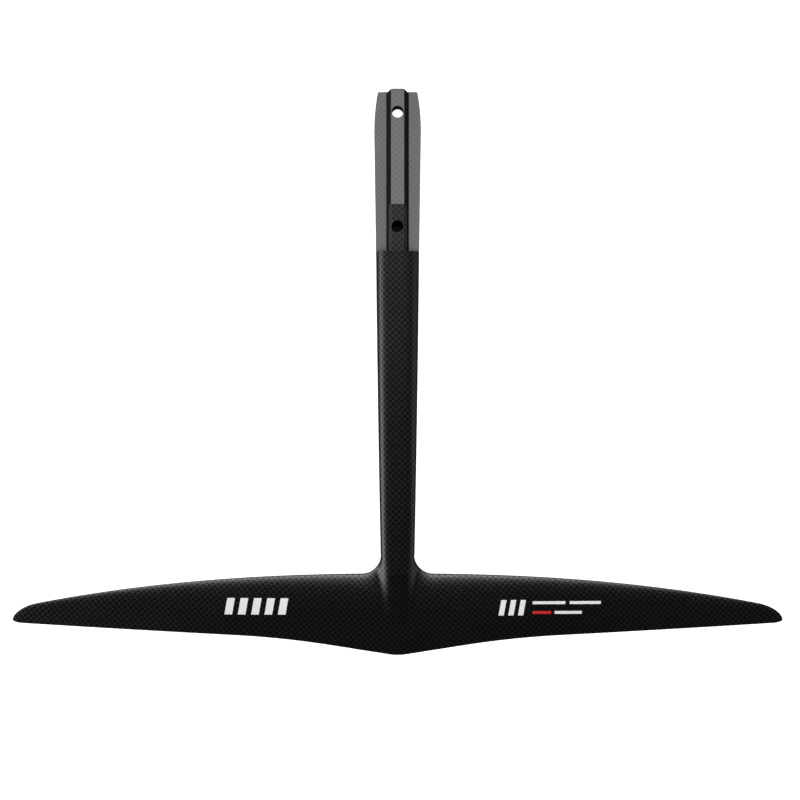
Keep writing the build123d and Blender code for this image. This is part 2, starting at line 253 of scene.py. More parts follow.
    def strip_half_width(self, y: float) -> float:
        """Half width of the plan at y, out to where the wing's own plan takes over."""
        if y >= self.fillet_y:
            return self.boom_half_width(y)
        if y <= self.corner_y:
            return self.corner_x
        drop = self.fillet_y - y
        return self.corner_x - math.sqrt(max(self.junction_radius**2 - drop**2, 0.0))

    def boom_rise(self, x: float, y: float, inset: float) -> float:
        """Height of the boom's rounded section, spread over the curve beside it.

        Args:
            x: Distance across the boom.
            y: Place along it.
            inset: Distance inside the outer surface.

        Returns:
            Height above the parting surface, or 0 outside the section.
        """
        height = self.boom_half_height(y) - inset
        spread = self.strip_half_width(y)
        across = abs(x) / (spread - inset)
        if height <= 0 or across >= 1:
            return 0.0
        grown = min(max((spread - self.boom_half_width(y)) / self.junction_radius, 0.0), 1.0)
        power = self.section_power + (self.spread_power - self.section_power) * grown
        knee = self.knee_share * min(self.boom_half_width(y) / spread, 1.0)
        falls = math.log(self.knee_height) / math.log(1 - knee**power)
        return height * (1 - across**power) ** falls

    def half_height(self, x: float, y: float, inset: float = 0.0) -> float:
        """Height of the skin above (or below) the parting surface.

        Args:
            x: Distance along the span.
            y: Place along the boom or chord.
            inset: Distance inside the outer surface.

        Returns:
            The height at which the boom and the wing run into each other.
        """
        boom = self.boom_rise(x, y, inset)
        wing = max(self.wing_rise(x, y) - inset, 0.0)
        return (boom**3 + wing**3) ** (1 / 3)


# ------------------------------------------------------------------ node helpers


@dataclass
class Bench:
    """Adds nodes to one node tree and joins them."""

    tree: NodeTree

    def add(self, kind: str, **settings: object) -> Node:
        """Adds one node.

        Args:
            kind: Type name of the node.
            **settings: Properties to set on it.

        Returns:
            The new node.
        """
        node = self.tree.nodes.new(kind)
        for name, value in settings.items():
            setattr(node, name, value)
        return node

    def feed(self, socket: NodeSocket, value: object) -> None:
        """Joins a socket to another one, or sets its value."""
        if isinstance(value, NodeSocket):
            self.tree.links.new(value, socket)
        else:
            socket.default_value = value

    def sum(self, operation: str, *values: object, clamp: bool = False) -> NodeSocket:
        """Adds a Math node.

        Args:
            operation: Name of the operation.
            *values: Sockets or numbers for its inputs.
            clamp: Whether the result stays between 0 and 1.

        Returns:
            The result's socket.
        """
        node = self.add("ShaderNodeMath", operation=operation, use_clamp=clamp)
        for socket, value in zip(node.inputs, values):
            self.feed(socket, value)
        return node.outputs[0]

    def plus(self, first: object, second: object) -> NodeSocket:
        """Adds two numbers."""
        return self.sum("ADD", first, second)

    def less(self, first: object, second: object) -> NodeSocket:
        """Takes the second number from the first."""
        return self.sum("SUBTRACT", first, second)

    def times(self, first: object, second: object) -> NodeSocket:
        """Multiplies two numbers."""
        return self.sum("MULTIPLY", first, second)

    def split(self, vector: NodeSocket) -> tuple[NodeSocket, ...]:
        """Gives a vector's three parts."""
        node = self.add("ShaderNodeSeparateXYZ")
        self.feed(node.inputs[0], vector)
        return tuple(node.outputs)

    def join(self, *parts: object) -> NodeSocket:
        """Makes a vector of up to three parts."""
        node = self.add("ShaderNodeCombineXYZ")
        for socket, part in zip(node.inputs, parts):
            self.feed(socket, part)
        return node.outputs[0]

    def vary(self, noise: NodeSocket, start: float, end: float) -> NodeSocket:
        """Maps a noise, most of which lies between 0.3 and 0.7, to start..end."""
        return self.ramp(noise, 0.3, 0.7, start, end)

    def shaded(self, colour: object, shade: NodeSocket) -> NodeSocket:
        """Multiplies a colour by a number."""
        node = self.add("ShaderNodeCombineColor")
        for socket in node.inputs:
            self.feed(socket, shade)
        return self.tint(1.0, colour, node.outputs[0], "MULTIPLY")

    def ramp(self, value: NodeSocket, low: float, high: float, start: float, end: float) -> NodeSocket:
        """Maps low..high to start..end, without going past either end."""
        node = self.add("ShaderNodeMapRange", clamp=True)
        for socket, number in zip(node.inputs[:5], (value, low, high, start, end)):
            self.feed(socket, number)
        return node.outputs[0]

    def blend(self, factor: object, first: object, second: object) -> NodeSocket:
        """Mixes two numbers."""
        node = self.add("ShaderNodeMix", data_type="FLOAT")
        self.feed(node.inputs[0], factor)
        self.feed(node.inputs[2], first)
        self.feed(node.inputs[3], second)
        return node.outputs[0]

    def tint(self, factor: object, first: object, second: object, mode: str = "MIX") -> NodeSocket:
        """Mixes two colours."""
        node = self.add("ShaderNodeMix", data_type="RGBA", blend_type=mode)
        self.feed(node.inputs[0], factor)
        self.feed(node.inputs[6], first)
        self.feed(node.inputs[7], second)
        return node.outputs[2]

    def noise(self, vector: NodeSocket, scale: float, detail: float = 3.0, rough: float = 0.5) -> NodeSocket:
        """Adds a noise texture and gives its value."""
        node = self.add("ShaderNodeTexNoise")
        for label, value in (("Vector", vector), ("Scale", scale), ("Detail", detail), ("Roughness", rough)):
            self.feed(node.inputs[label], value)
        return node.outputs["Fac"]

    def stretch(self, vector: NodeSocket, scale: Stretch) -> NodeSocket:
        """Scales a pattern's coordinates along each axis."""
        node = self.add("ShaderNodeMapping")
        self.feed(node.inputs["Vector"], vector)
        node.inputs["Scale"].default_value = scale
        return node.outputs["Vector"]

    def bump(self, height: NodeSocket, depth: float, strength: float = 1.0) -> NodeSocket:
        """Turns a height into a normal, for a relief of the given depth."""
        node = self.add("ShaderNodeBump")
        node.inputs["Strength"].default_value = strength
        node.inputs["Distance"].default_value = depth
        self.feed(node.inputs["Height"], height)
        return node.outputs["Normal"]


def new_group(name: str, inputs: dict[str, str], outputs: dict[str, str]) -> tuple[NodeTree, Node, Node]:
    """Starts a shader node group.

    Args:
        name: Name of the group.
        inputs: Socket types by name.
        outputs: Socket types by name.

    Returns:
        The group's tree, its input node and its output node.
    """
    tree = bpy.data.node_groups.new(name, "ShaderNodeTree")
    for label, kind in inputs.items():
        tree.interface.new_socket(name=label, in_out="INPUT", socket_type=kind)
    for label, kind in outputs.items():
        tree.interface.new_socket(name=label, in_out="OUTPUT", socket_type=kind)
    return tree, tree.nodes.new("NodeGroupInput"), tree.nodes.new("NodeGroupOutput")


@dataclass
class SharedPatterns:
    """Node groups that several finishes use: the woven cloth and the surface's wear."""

    cloth: NodeTree = field(init=False)
    wear: NodeTree = field(init=False)

    def __post_init__(self) -> None:
        """Builds both groups once."""
        self.cloth = self._plain_weave()
        self.wear = self._surface_wear()

    def _plain_weave(self) -> NodeTree:
        """Plain-weave cloth: which tow lies on top, its crown and its fibres.

        Returns:
            The node group.
        """
        tree, given, result = new_group(
            "plain_weave_cloth",
            {"Vector": "NodeSocketVector", "Square": "NodeSocketFloat", "Softness": "NodeSocketFloat"},
            {"Over": "NodeSocketFloat", "Crown": "NodeSocketFloat", "Fibre": "NodeSocketFloat"},
        )
        bench = Bench(tree)
        drift = bench.noise(given.outputs["Vector"], 55.0, 2.0)
        x, y, _ = bench.split(given.outputs["Vector"])
        pushed = bench.times(bench.less(drift, 0.5), 0.5 * MM)
        across = bench.sum("DIVIDE", bench.plus(x, pushed), given.outputs["Square"])
        along = bench.sum("DIVIDE", bench.plus(y, pushed), given.outputs["Square"])
        steps = bench.plus(bench.sum("FLOOR", across), bench.sum("FLOOR", along))
        on_top = bench.sum("PINGPONG", steps, 1.0)
        arch_across = bench.sum("SINE", bench.times(bench.sum("FRACT", across), math.pi))
        arch_along = bench.sum("SINE", bench.times(bench.sum("FRACT", along), math.pi))
        dome = bench.times(arch_across, arch_along)
        crisp = bench.sum("POWER", bench.sum("MAXIMUM", dome, 0.0001), given.outputs["Softness"])
        signed = bench.times(bench.less(on_top, 0.5), crisp)
        bench.feed(result.inputs["Over"], bench.sum("ADD", signed, 0.5, clamp=True))
        bench.feed(result.inputs["Crown"], bench.sum("SQRT", bench.sum("MAXIMUM", dome, 0.0)))
        lie = bench.add("ShaderNodeMix", data_type="VECTOR")
        bench.feed(lie.inputs[0], on_top)
        for number, (fine, long) in ((4, (across, along)), (5, (along, across))):
            tows = bench.join(bench.times(fine, 11.0), bench.times(long, 0.6))
            bench.feed(lie.inputs[number], tows)
        bench.feed(result.inputs["Fibre"], bench.noise(lie.outputs[1], 1.0, 3.0))
        return tree

    def _surface_wear(self) -> NodeTree:
        """Fine grain, broad blotches and thin scratches.

        Returns:
            The node group.
        """
        tree, given, result = new_group(
            "surface_wear",
            {"Vector": "NodeSocketVector", "Grain size": "NodeSocketFloat", "Scratches": "NodeSocketFloat"},
            {"Grain": "NodeSocketFloat", "Blotch": "NodeSocketFloat", "Scratch": "NodeSocketFloat"},
        )
        bench = Bench(tree)
        scaled = bench.add("ShaderNodeVectorMath", operation="DIVIDE")
        bench.feed(scaled.inputs[0], given.outputs["Vector"])
        bench.feed(scaled.inputs[1], bench.join(*[given.outputs["Grain size"]] * 3))
        bench.feed(result.inputs["Grain"], bench.noise(scaled.outputs[0], 1.0, 4.0, 0.6))
        bench.feed(result.inputs["Blotch"], bench.noise(given.outputs["Vector"], 28.0, 3.0))
        lean = bench.add("ShaderNodeMapping")
        bench.feed(lean.inputs["Vector"], given.outputs["Vector"])
        lean.inputs["Rotation"].default_value = (0.0, 0.0, math.radians(24))
        lean.inputs["Scale"].default_value = (90.0, 2600.0, 90.0)
        lines = bench.ramp(bench.noise(lean.outputs["Vector"], 1.0, 2.0), 0.66, 0.74, 0.0, 1.0)
        bench.feed(result.inputs["Scratch"], bench.times(lines, given.outputs["Scratches"]))
        return tree


# ------------------------------------------------------------------ finishes


@dataclass
class Coating(Bench):
    """A bench on one material, with its shader and the shared patterns."""

    patterns: SharedPatterns
    square: float = 1.6 * MM
    shader: Node = field(init=False)

    def __post_init__(self) -> None:
        """Finds the shader."""
        self.shader = next(n for n in self.tree.nodes if n.type == "BSDF_PRINCIPLED")

    def set(self, label: str, value: object) -> None:
        """Feeds one of the shader's inputs."""
        self.feed(self.shader.inputs[label], value)

    def relief(self, height: NodeSocket, depth: float, strength: float) -> None:
        """Gives the surface a relief of the given depth."""
        self.set("Normal", self.bump(height, depth, strength))

    def place(self) -> NodeSocket:
        """Gives the piece's own coordinates."""
        return self.add("ShaderNodeTexCoord").outputs["Object"]

    def cells(self, feature: str, size: float) -> NodeSocket:
        """Distance in a pattern of cells of the given size."""
        node = self.add("ShaderNodeTexVoronoi", feature=feature)
        self.feed(node.inputs["Vector"], self.place())
        self.feed(node.inputs["Scale"], 1 / size)
        return node.outputs["Distance"]

    def worn(self, grain: float, scratches: float) -> tuple[NodeSocket, ...]:
        """Adds the shared wear.

        Args:
            grain: Size of the grain.
            scratches: Share of the scratches that show.

        Returns:
            Grain, blotches and scratches.
        """
        node = self.add("ShaderNodeGroup", node_tree=self.patterns.wear)
        self.feed(node.inputs["Vector"], self.place())
        self.feed(node.inputs["Grain size"], grain)
        self.feed(node.inputs["Scratches"], scratches)
        return tuple(node.outputs)

    def woven(self, map_name: str, softness: float) -> tuple[NodeSocket, ...]:
        """Adds the shared cloth on one of the piece's UV maps.

        Args:
            map_name: Name of the UV map that the cloth follows.
            softness: Softness of the squares' edges; 1 is fully domed.

        Returns:
            Which tow lies on top, its crown and its fibres.
        """
        node = self.add("ShaderNodeGroup", node_tree=self.patterns.cloth)
        self.feed(node.inputs["Vector"], self.add("ShaderNodeUVMap", uv_map=map_name).outputs[0])
        self.feed(node.inputs["Square"], self.square)
        self.feed(node.inputs["Softness"], softness)
        return tuple(node.outputs)


@dataclass(frozen=True)
class Finish:
    """A surface finish, built as one procedural material."""

    def material(self, name: str, patterns: SharedPatterns) -> Material:
        """Builds the material.

        Args:
            name: Name of the material.
            patterns: The shared groups.

        Returns:
            The material.
        """
        material = bpy.data.materials.new(name)
        material.use_nodes = True
        self.dress(Coating(material.node_tree, patterns))
        return material

    def dress(self, coat: Coating) -> None:
        """Sets the shader's inputs."""
        raise NotImplementedError


@dataclass(frozen=True)
class LacqueredCarbon(Finish):
    """Plain-weave carbon under clear lacquer, with the boom's cloth lapped over the wings'."""

    softness: float = 0.45
    dark: Colour = grey(0.0105, 0.0109)
    light: Colour = grey(0.079, 0.0817)
    lap_half_width: float = 12 * MM
    lap_start_back: float = 246 * MM
    lap_taper: float = 0.57
    lap_blur: float = 0.5 * MM
    dull_from_back: float = 240 * MM
    dull_to_back: float = 75 * MM

    def dress(self, coat: Coating) -> None:
        """Lays the two cloths and a lacquer that is duller towards the tenon."""
        x, y, _ = coat.split(coat.place())
        aft = coat.less(-self.lap_start_back, y)
        reach = coat.less(self.lap_half_width, coat.times(aft, self.lap_taper))
        inside = coat.less(reach, coat.sum("ABSOLUTE", x))
        lap = coat.ramp(inside, -self.lap_blur, self.lap_blur, 0.0, 1.0)
        boom = coat.woven("boom_cloth", self.softness)
        wing = coat.woven("wing_cloth", self.softness)
        over, crown, fibre = [coat.blend(lap, *pair) for pair in zip(wing, boom)]
        _, blotch, scratch = coat.worn(0.25 * MM, 0.35)
        shade = coat.times(coat.vary(fibre, 0.82, 1.18), coat.vary(blotch, 0.9, 1.1))
        coat.set("Base Color", coat.shaded(coat.tint(over, self.dark, self.light), shade))
        dull = coat.ramp(y, -self.dull_from_back, -self.dull_to_back, 0.0, 1.0)
        coat.set("Roughness", coat.plus(coat.ramp(fibre, 0.2, 0.8, 0.32, 0.44), coat.times(dull, 0.12)))
        coat.relief(coat.plus(crown, coat.times(fibre, 0.25)), 0.05 * MM, 0.6)
        polish = coat.less(1.0, coat.times(scratch, 0.35))
        coat.set("Coat Weight", coat.times(polish, coat.less(1.0, coat.times(dull, 0.35))))
        coat.set("Coat Roughness", coat.ramp(dull, 0.0, 1.0, 0.08, 0.24))
        coat.set("Metallic", 1.0)
        coat.set("Coat IOR", 1.5)


@dataclass(frozen=True)
class SandedCarbon(Finish):
    """Bare laminate sanded flat: matt grey, with the cloth just showing through."""

    low: Colour = grey(0.150, 0.151)
    high: Colour = grey(0.186, 0.187)

    def dress(self, coat: Coating) -> None:
        """Lays the cloth under a fine, scratched grain."""
        over, _, _ = coat.woven("boom_cloth", 0.8)
        grain, blotch, scratch = coat.worn(0.12 * MM, 1.0)
        grit = coat.times(coat.vary(grain, 0.93, 1.07), coat.vary(blotch, 0.97, 1.03))
        lines = coat.plus(grit, coat.times(scratch, 0.08))
        coat.set("Base Color", coat.shaded(coat.tint(over, self.low, self.high), lines))
        coat.set("Roughness", coat.vary(grain, 0.68, 0.86))
        coat.relief(coat.plus(grain, coat.times(scratch, 0.5)), 0.02 * MM, 0.5)
        coat.set("Specular IOR Level", 0.2)


@dataclass(frozen=True)
class MattCloth(Finish):
    """Cloth straight from the mould, without lacquer, as on the rear of the rail."""

    dark: Colour = grey(0.042, 0.0433)
    light: Colour = grey(0.112, 0.1155)

    def dress(self, coat: Coating) -> None:
        """Lays the bare cloth."""
        over, crown, _ = coat.woven("boom_cloth", 0.6)
        grain, _, _ = coat.worn(0.2 * MM, 0.5)
        cloth = coat.tint(over, self.dark, self.light)
        coat.set("Base Color", coat.shaded(cloth, coat.vary(grain, 0.85, 1.15)))
        coat.set("Roughness", coat.vary(grain, 0.45, 0.6))
        coat.relief(coat.plus(crown, coat.times(grain, 0.4)), 0.03 * MM, 0.5)
        coat.set("Metallic", 1.0)


@dataclass(frozen=True)
class ShadePaintedMachinedWall(Finish):
    """Machined side of the rail: near black, partly the laminate's own dark tone and partly painted shade for
    the steep walls, with faint cutter lines along it.
    """

    # base colours darkened to near black: painted shade for the steep rail walls, on top of the laminate's
    # own tone
    dark: Colour = grey(0.003, 0.0031)
    light: Colour = grey(0.007, 0.0072)
    lines: Stretch = (900.0, 40.0, 3200.0)

    def dress(self, coat: Coating) -> None:
        """Lays the cutter lines."""
        _, blotch, _ = coat.worn(0.3 * MM, 0.3)
        lines = coat.noise(coat.stretch(coat.place(), self.lines), 1.0, 2.0)
        shade = coat.times(lines, coat.vary(blotch, 0.8, 1.2))
        coat.set("Base Color", coat.tint(shade, self.dark, self.light))
        coat.set("Roughness", coat.vary(lines, 0.55, 0.75))
        coat.relief(lines, 0.02 * MM, 0.5)
        coat.set("Specular IOR Level", 0.1)


@dataclass(frozen=True)
class ShadePaintedPressedLaminate(Finish):
    """Drilled or pressed laminate: near black, partly its own dark tone and partly painted shade for the
    inside of the bolt holes, with the edges of its plies as thin rings.
    """

    ply: float = 0.25 * MM
    # base colours darkened to near black: painted shade for the bores, on top of the laminate's own tone
    dark: Colour = grey(0.002, 0.0021)
    light: Colour = grey(0.014, 0.0145)

    def dress(self, coat: Coating) -> None:
        """Lays the edges of the plies."""
        grain, _, _ = coat.worn(0.3 * MM, 0.5)
        _, _, z = coat.split(coat.place())
        height = coat.plus(z, coat.times(coat.less(grain, 0.5), self.ply))
        plies = coat.sum("SINE", coat.times(height, 2 * math.pi / self.ply))
        bands = coat.ramp(plies, -1.0, 1.0, 0.0, 1.0)
        worn = coat.times(bands, coat.vary(grain, 0.4, 1.0))
        coat.set("Base Color", coat.tint(worn, self.dark, self.light))
        coat.set("Roughness", coat.ramp(bands, 0.0, 1.0, 0.45, 0.65))
        coat.relief(worn, 0.03 * MM, 0.6)


@dataclass(frozen=True)
class StraightFibre(Finish):
    """Spar cap of straight fibres, all lying one way."""

    way: Way = Way.ALONG_SPAN
    dark: Colour = grey(0.006, 0.0065)
    light: Colour = grey(0.045, 0.047)
    band_ratio: float = 6.0

    def dress(self, coat: Coating) -> None:
        """Lays the fibres and the broader bands that they lie in."""
        _, blotch, _ = coat.worn(0.4 * MM, 0.2)
        fine = (20.0, 4200.0, 900.0) if self.way is Way.ALONG_SPAN else (4200.0, 20.0, 900.0)
        broad = tuple(number / self.band_ratio for number in fine)
        fibres = coat.noise(coat.stretch(coat.place(), fine), 1.0, 3.0)
        bands = coat.noise(coat.stretch(coat.place(), broad), 1.0, 2.0)
        shade = coat.ramp(coat.times(fibres, coat.vary(bands, 0.6, 1.2)), 0.2, 0.7, 0.0, 1.0)
        coat.set("Base Color", coat.tint(shade, self.dark, self.light))
        coat.set("Roughness", coat.vary(blotch, 0.35, 0.5))
        coat.relief(fibres, 0.02 * MM, 0.5)


@dataclass(frozen=True)
class RigidFoam(Finish):
    """Closed-cell core foam, with its cut cells as small pits whose darker middles are painted shade."""

    cell: float = 0.45 * MM
    # colour in the middle of each cut cell: painted shade in its hollow
    pit_shade: Colour = (0.46, 0.33, 0.16, 1.0)
    wall: Colour = (0.62, 0.50, 0.30, 1.0)
    dust: Colour = (0.66, 0.56, 0.38, 1.0)

    def dress(self, coat: Coating) -> None:
        """Lays the cells, painted darker in their hollows as painted shade, and their dust."""
        _, blotch, _ = coat.worn(0.6 * MM, 0.0)
        walls = coat.ramp(coat.cells("DISTANCE_TO_EDGE", self.cell), 0.0, 0.25, 1.0, 0.0)
        # the cells' middles, which the relief sinks, take the darker colour as painted shade
        base = coat.tint(walls, self.pit_shade, self.wall)
        coat.set("Base Color", coat.tint(coat.vary(blotch, 0.0, 0.35), base, self.dust))
        coat.set("Roughness", coat.ramp(walls, 0.0, 1.0, 0.95, 0.8))
        coat.relief(walls, 0.08 * MM, 0.8)


@dataclass(frozen=True)
class CuredPaste(Finish):
    """Structural paste with fine filler and a few small bubbles, whose dark insides are painted shade."""

    bubble: float = 1.1 * MM
    low: Colour = (0.085, 0.086, 0.078, 1.0)
    high: Colour = (0.150, 0.150, 0.138, 1.0)
    # colour inside each bubble: painted shade in its hollow
    pit_shade: Colour = (0.04, 0.04, 0.038, 1.0)

    def dress(self, coat: Coating) -> None:
        """Lays the filler and the bubbles."""
        grain, _, _ = coat.worn(0.2 * MM, 0.0)
        pits = coat.ramp(coat.cells("F1", self.bubble), 0.05, 0.16, 1.0, 0.0)
        # bubbles, sunk by the relief below, take the dark colour as painted shade
        coat.set("Base Color", coat.tint(pits, coat.tint(grain, self.low, self.high), self.pit_shade))
        coat.set("Roughness", coat.vary(grain, 0.55, 0.8))
        coat.relief(coat.less(grain, pits), 0.05 * MM, 0.6)


@dataclass(frozen=True)
class BlackOxide(Finish):
    """Black-oxided steel, turned, with a little bare metal on its edges."""

    black: Colour = grey(0.003, 0.0033)
    steel: Colour = (0.05, 0.049, 0.047, 1.0)
    lines: Stretch = (120.0, 120.0, 9000.0)

    def dress(self, coat: Coating) -> None:
        """Lays the turning lines and the bare spots."""
        grain, _, _ = coat.worn(0.15 * MM, 0.6)
        turned = coat.noise(coat.stretch(coat.place(), self.lines), 1.0, 2.0)
        bare = coat.ramp(grain, 0.62, 0.8, 0.0, 0.35)
        coat.set("Base Color", coat.tint(bare, self.black, self.steel))
        coat.set("Metallic", 1.0)
        coat.set("Roughness", coat.vary(turned, 0.38, 0.55))
        coat.relief(turned, 0.01 * MM, 0.5)


@dataclass(frozen=True)
class PrintedInk(Finish):
    """Screen-printed ink under the lacquer, with small pinholes where the cloth is proud."""

    ink: Colour = grey(0.80, 0.80)
    thin: Colour = grey(0.42, 0.42)

    def dress(self, coat: Coating) -> None:
        """Lays the ink and its pinholes."""
        grain, _, _ = coat.worn(0.18 * MM, 0.4)
        holes = coat.ramp(grain, 0.60, 0.78, 0.0, 0.7)
        coat.set("Base Color", coat.tint(holes, self.ink, self.thin))
        coat.set("Roughness", coat.vary(grain, 0.35, 0.5))
        coat.relief(grain, 0.01 * MM, 0.4)
        coat.set("Coat Weight", 0.6)
        coat.set("Coat Roughness", 0.15)


# ------------------------------------------------------------------ mesh helpers


def place_mesh(bm: BMesh, name: str) -> Object:
    """Turns a bmesh, which it frees, into an object in the scene."""
    mesh = bpy.data.meshes.new(name)
    bm.to_mesh(mesh)
    bm.free()
    made = bpy.data.objects.new(name, mesh)
    bpy.context.scene.collection.objects.link(made)
    return made


def round_edges(bm: BMesh, edges: list[BMEdge], offset: float, segments: int) -> None:
    """Bevels edges to a round of the given width."""
    bmesh.ops.bevel(
        bm,
        geom=edges,
        offset=offset,
        offset_type="OFFSET",
        segments=segments,
        profile=0.5,
        affect="EDGES",
        material=-1,
    )


def finish_piece(
    bm: BMesh,
    name: str,
    materials: Iterable[Material],
    nodes: Iterable[str],
    sharp_degrees: float = 40.0,
) -> Object:
    """Turns a bmesh into a piece that rides on the root body.

    Args:
        bm: The finished mesh; it is freed.
        name: Name of the piece.
        materials: Its materials, in the order of its faces' indices.
        nodes: CAD nodes that it stands for.
        sharp_degrees: Edges that turn more than this are shaded sharp.

    Returns:
        The new object.
    """
    for face in bm.faces:
        face.smooth = True
    for edge in bm.edges:
        edge.smooth = edge.calc_face_angle(0.0) < math.radians(sharp_degrees)
    piece = place_mesh(bm, name)
    for material in materials:
        piece.data.materials.append(material)
    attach(piece, "root")
    if nodes:
        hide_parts(*nodes)
    log.info("%s: %d faces, stands for %s", name, len(piece.data.polygons), ", ".join(nodes))
    return piece


def lathe(bm: BMesh, outline: list[Place], centre: Vector, steps: int = 64) -> list[BMVert]:
    """Spins an outline of (radius, z) about a vertical axis into a closed solid.

    Args:
        bm: The mesh that it joins.
        outline: Radius and height of each corner, from top to bottom or round a ring.
        centre: Foot of the axis.
        steps: Faces round the turn.

    Returns:
        The new vertices.
    """
    before = set(bm.verts)
    corners = [bm.verts.new((centre.x + radius, centre.y, centre.z + z)) for radius, z in outline]
    edges = [bm.edges.new(pair) for pair in zip(corners, corners[1:])]
    if outline[0][0] > 0:
        edges.append(bm.edges.new((corners[-1], corners[0])))
    bmesh.ops.spin(
        bm,
        geom=corners + edges,
        cent=centre,
        axis=(0.0, 0.0, 1.0),
        angle=2 * math.pi,
        steps=steps,
        use_merge=True,
    )
    made = [vert for vert in bm.verts if vert not in before]
    bmesh.ops.remove_doubles(bm, verts=made, dist=0.001 * MM)
    return [vert for vert in bm.verts if vert not in before]


# ------------------------------------------------------------------ sub-assemblies


@dataclass
class MouldedSkins:
    """The two skins of the boom and wing, each a closed shell with a real wall."""

    lines: TailLines
    strip_columns: int = 44
    boom_rows: int = 44
    curve_rows: int = 14
    chord_rows: int = 44
    span_columns: int = 120
    cloth_turn: float = math.radians(5)
    rows: list[Place] = field(init=False)

    def __post_init__(self) -> None:
        """Lists the strip's rows: (Y, share of the chord), front to back."""
        lines = self.lines
        length = -lines.shoulder_back - lines.fillet_y
        ahead = [(-lines.shoulder_back - length * i / self.boom_rows, 0.0) for i in range(self.boom_rows)]
        turns = [math.pi / 2 * i / self.curve_rows for i in range(self.curve_rows)]
        round_rows = [(lines.fillet_y - lines.junction_radius * math.sin(turn), 0.0) for turn in turns]
        shares = [(i / self.chord_rows) ** 2 for i in range(self.chord_rows + 1)]
        self.rows = ahead + round_rows + [(lines.corner_y, share) for share in shares]

    def _strip_place(self, i: int, j: int) -> Place:
        """Plan place of a point of the centre strip.

        Args:
            i: Column, from left to right.
            j: Row, from front to back.

        Returns:
            Its X and Y.
        """
        start, share = self.rows[j]
        x = self.lines.strip_half_width(start) * math.sin(math.pi / 2 * (2 * i / self.strip_columns - 1))
        if share == 0.0:
            return x, start
        return x, start + share * (self.lines.rear_edge(x) - start)

    def _wing_place(self, i: int, j: int, side: int) -> Place:
        """Plan place of a point of a wing half.

        Args:
            i: Column, from the root out.
            j: Row, from the leading edge back.
            side: 1 on +X and -1 on -X.

        Returns:
            Its X and Y.
        """
        root = self.lines.corner_x
        x = root + (self.lines.half_span - root) * math.sin(math.pi / 2 * i / self.span_columns)
        front = self.lines.front_edge(x)
        share = (j / self.chord_rows) ** 2
        return side * x, front + share * (self.lines.rear_edge(x) - front)

    def _sheet(
        self,
        bm: BMesh,
        size: tuple[int, int],
        place: Callable[[int, int], Place],
        face: Face,
        inset: float,
        base_rows: tuple[int, int],
    ) -> None:
        """Lays one grid on a surface of the skin and gives it its cloth.

        Args:
            bm: The skin's mesh.
            size: Columns and rows of the surface.
            place: Plan place by column and row.
            face: Upper or lower skin.
            inset: 0 on the outside, the wall's thickness on the inside.
            base_rows: How many rows are added at the front and back to close the wall's edge.
        """
        columns, rows = size
        front_rows, back_rows = base_rows
        total = rows + front_rows + back_rows
        made = bmesh.ops.create_grid(bm, x_segments=columns, y_segments=total, size=1.0)
        net: dict[tuple[int, int], BMVert] = {}
        for vert in made["verts"]:
            i = round((vert.co.x + 1) / 2 * columns)
            j = round((vert.co.y + 1) / 2 * total)
            row = min(max(j - front_rows, 0), rows)
            x, y = place(i, row)
            depth = self.lines.skin if j < front_rows or j > front_rows + rows else inset
            height = self.lines.half_height(x, y, depth)
            vert.co = (x, y, self.lines.parting(x) + face.value * height)
            net[(i, j)] = vert
        self._chart(bm, net, columns, total)

    def _chart(self, bm: BMesh, net: dict[tuple[int, int], BMVert], columns: int, rows: int) -> None:
        """Gives a sheet its two cloth maps, measured along the surface.

        Args:
            bm: The skin's mesh.
            net: The sheet's vertices by column and row.
            columns: Number of columns.
            rows: Number of rows.
        """
        across: dict[BMVert, float] = {}
        along: dict[BMVert, float] = {}
        for j in range(rows + 1):
            middle = min(range(columns + 1), key=lambda i: abs(net[(i, j)].co.x))
            across[net[(middle, j)]] = net[(middle, j)].co.x
            for side, stop in ((1, columns + 1), (-1, -1)):
                for i in range(middle + side, stop, side):
                    here, near = net[(i, j)], net[(i - side, j)]
                    way = side if side * (here.co.x - net[(middle, j)].co.x) >= 0 else -side
                    across[here] = across[near] + way * (here.co - near.co).length
        for i in range(columns + 1):
            along[net[(i, rows)]] = net[(i, rows)].co.y
            for j in range(rows - 1, -1, -1):
                step = (net[(i, j)].co - net[(i, j + 1)].co).length
                along[net[(i, j)]] = along[net[(i, j + 1)]] + step
        boom_map = bm.loops.layers.uv.get("boom_cloth") or bm.loops.layers.uv.new("boom_cloth")
        wing_map = bm.loops.layers.uv.get("wing_cloth") or bm.loops.layers.uv.new("wing_cloth")
        faces = {near for vert in net.values() for near in vert.link_faces}
        for near in faces:
            side = 1 if near.calc_center_median().x > 0 else -1
            turn = Matrix.Rotation(-side * self.cloth_turn, 2)
            for loop in near.loops:
                vert = loop.vert
                loop[boom_map].uv = (across[vert], vert.co.y)
                loop[wing_map].uv = turn @ Vector((vert.co.x, along[vert]))

    def _shell(self, face: Face) -> BMesh:
        """Closed shell of one skin.

        Args:
            face: Upper or lower skin.

        Returns:
            Its mesh, merged and facing outwards.
        """
        bm = bmesh.new()
        strip = (self.strip_columns, len(self.rows) - 1)
        wing = (self.span_columns, self.chord_rows)
        for inset, strip_base, wing_base in ((0.0, (1, 1), (0, 1)), (self.lines.skin, (0, 0), (0, 0))):
            self._sheet(bm, strip, self._strip_place, face, inset, strip_base)
            for side in (1, -1):
                self._sheet(bm, wing, lambda i, j, s=side: self._wing_place(i, j, s), face, inset, wing_base)
        bmesh.ops.remove_doubles(bm, verts=bm.verts, dist=0.0002 * MM)
        bmesh.ops.recalc_face_normals(bm, faces=bm.faces)
        if bm.calc_volume(signed=True) < 0:
            bmesh.ops.reverse_faces(bm, faces=bm.faces)
        return bm

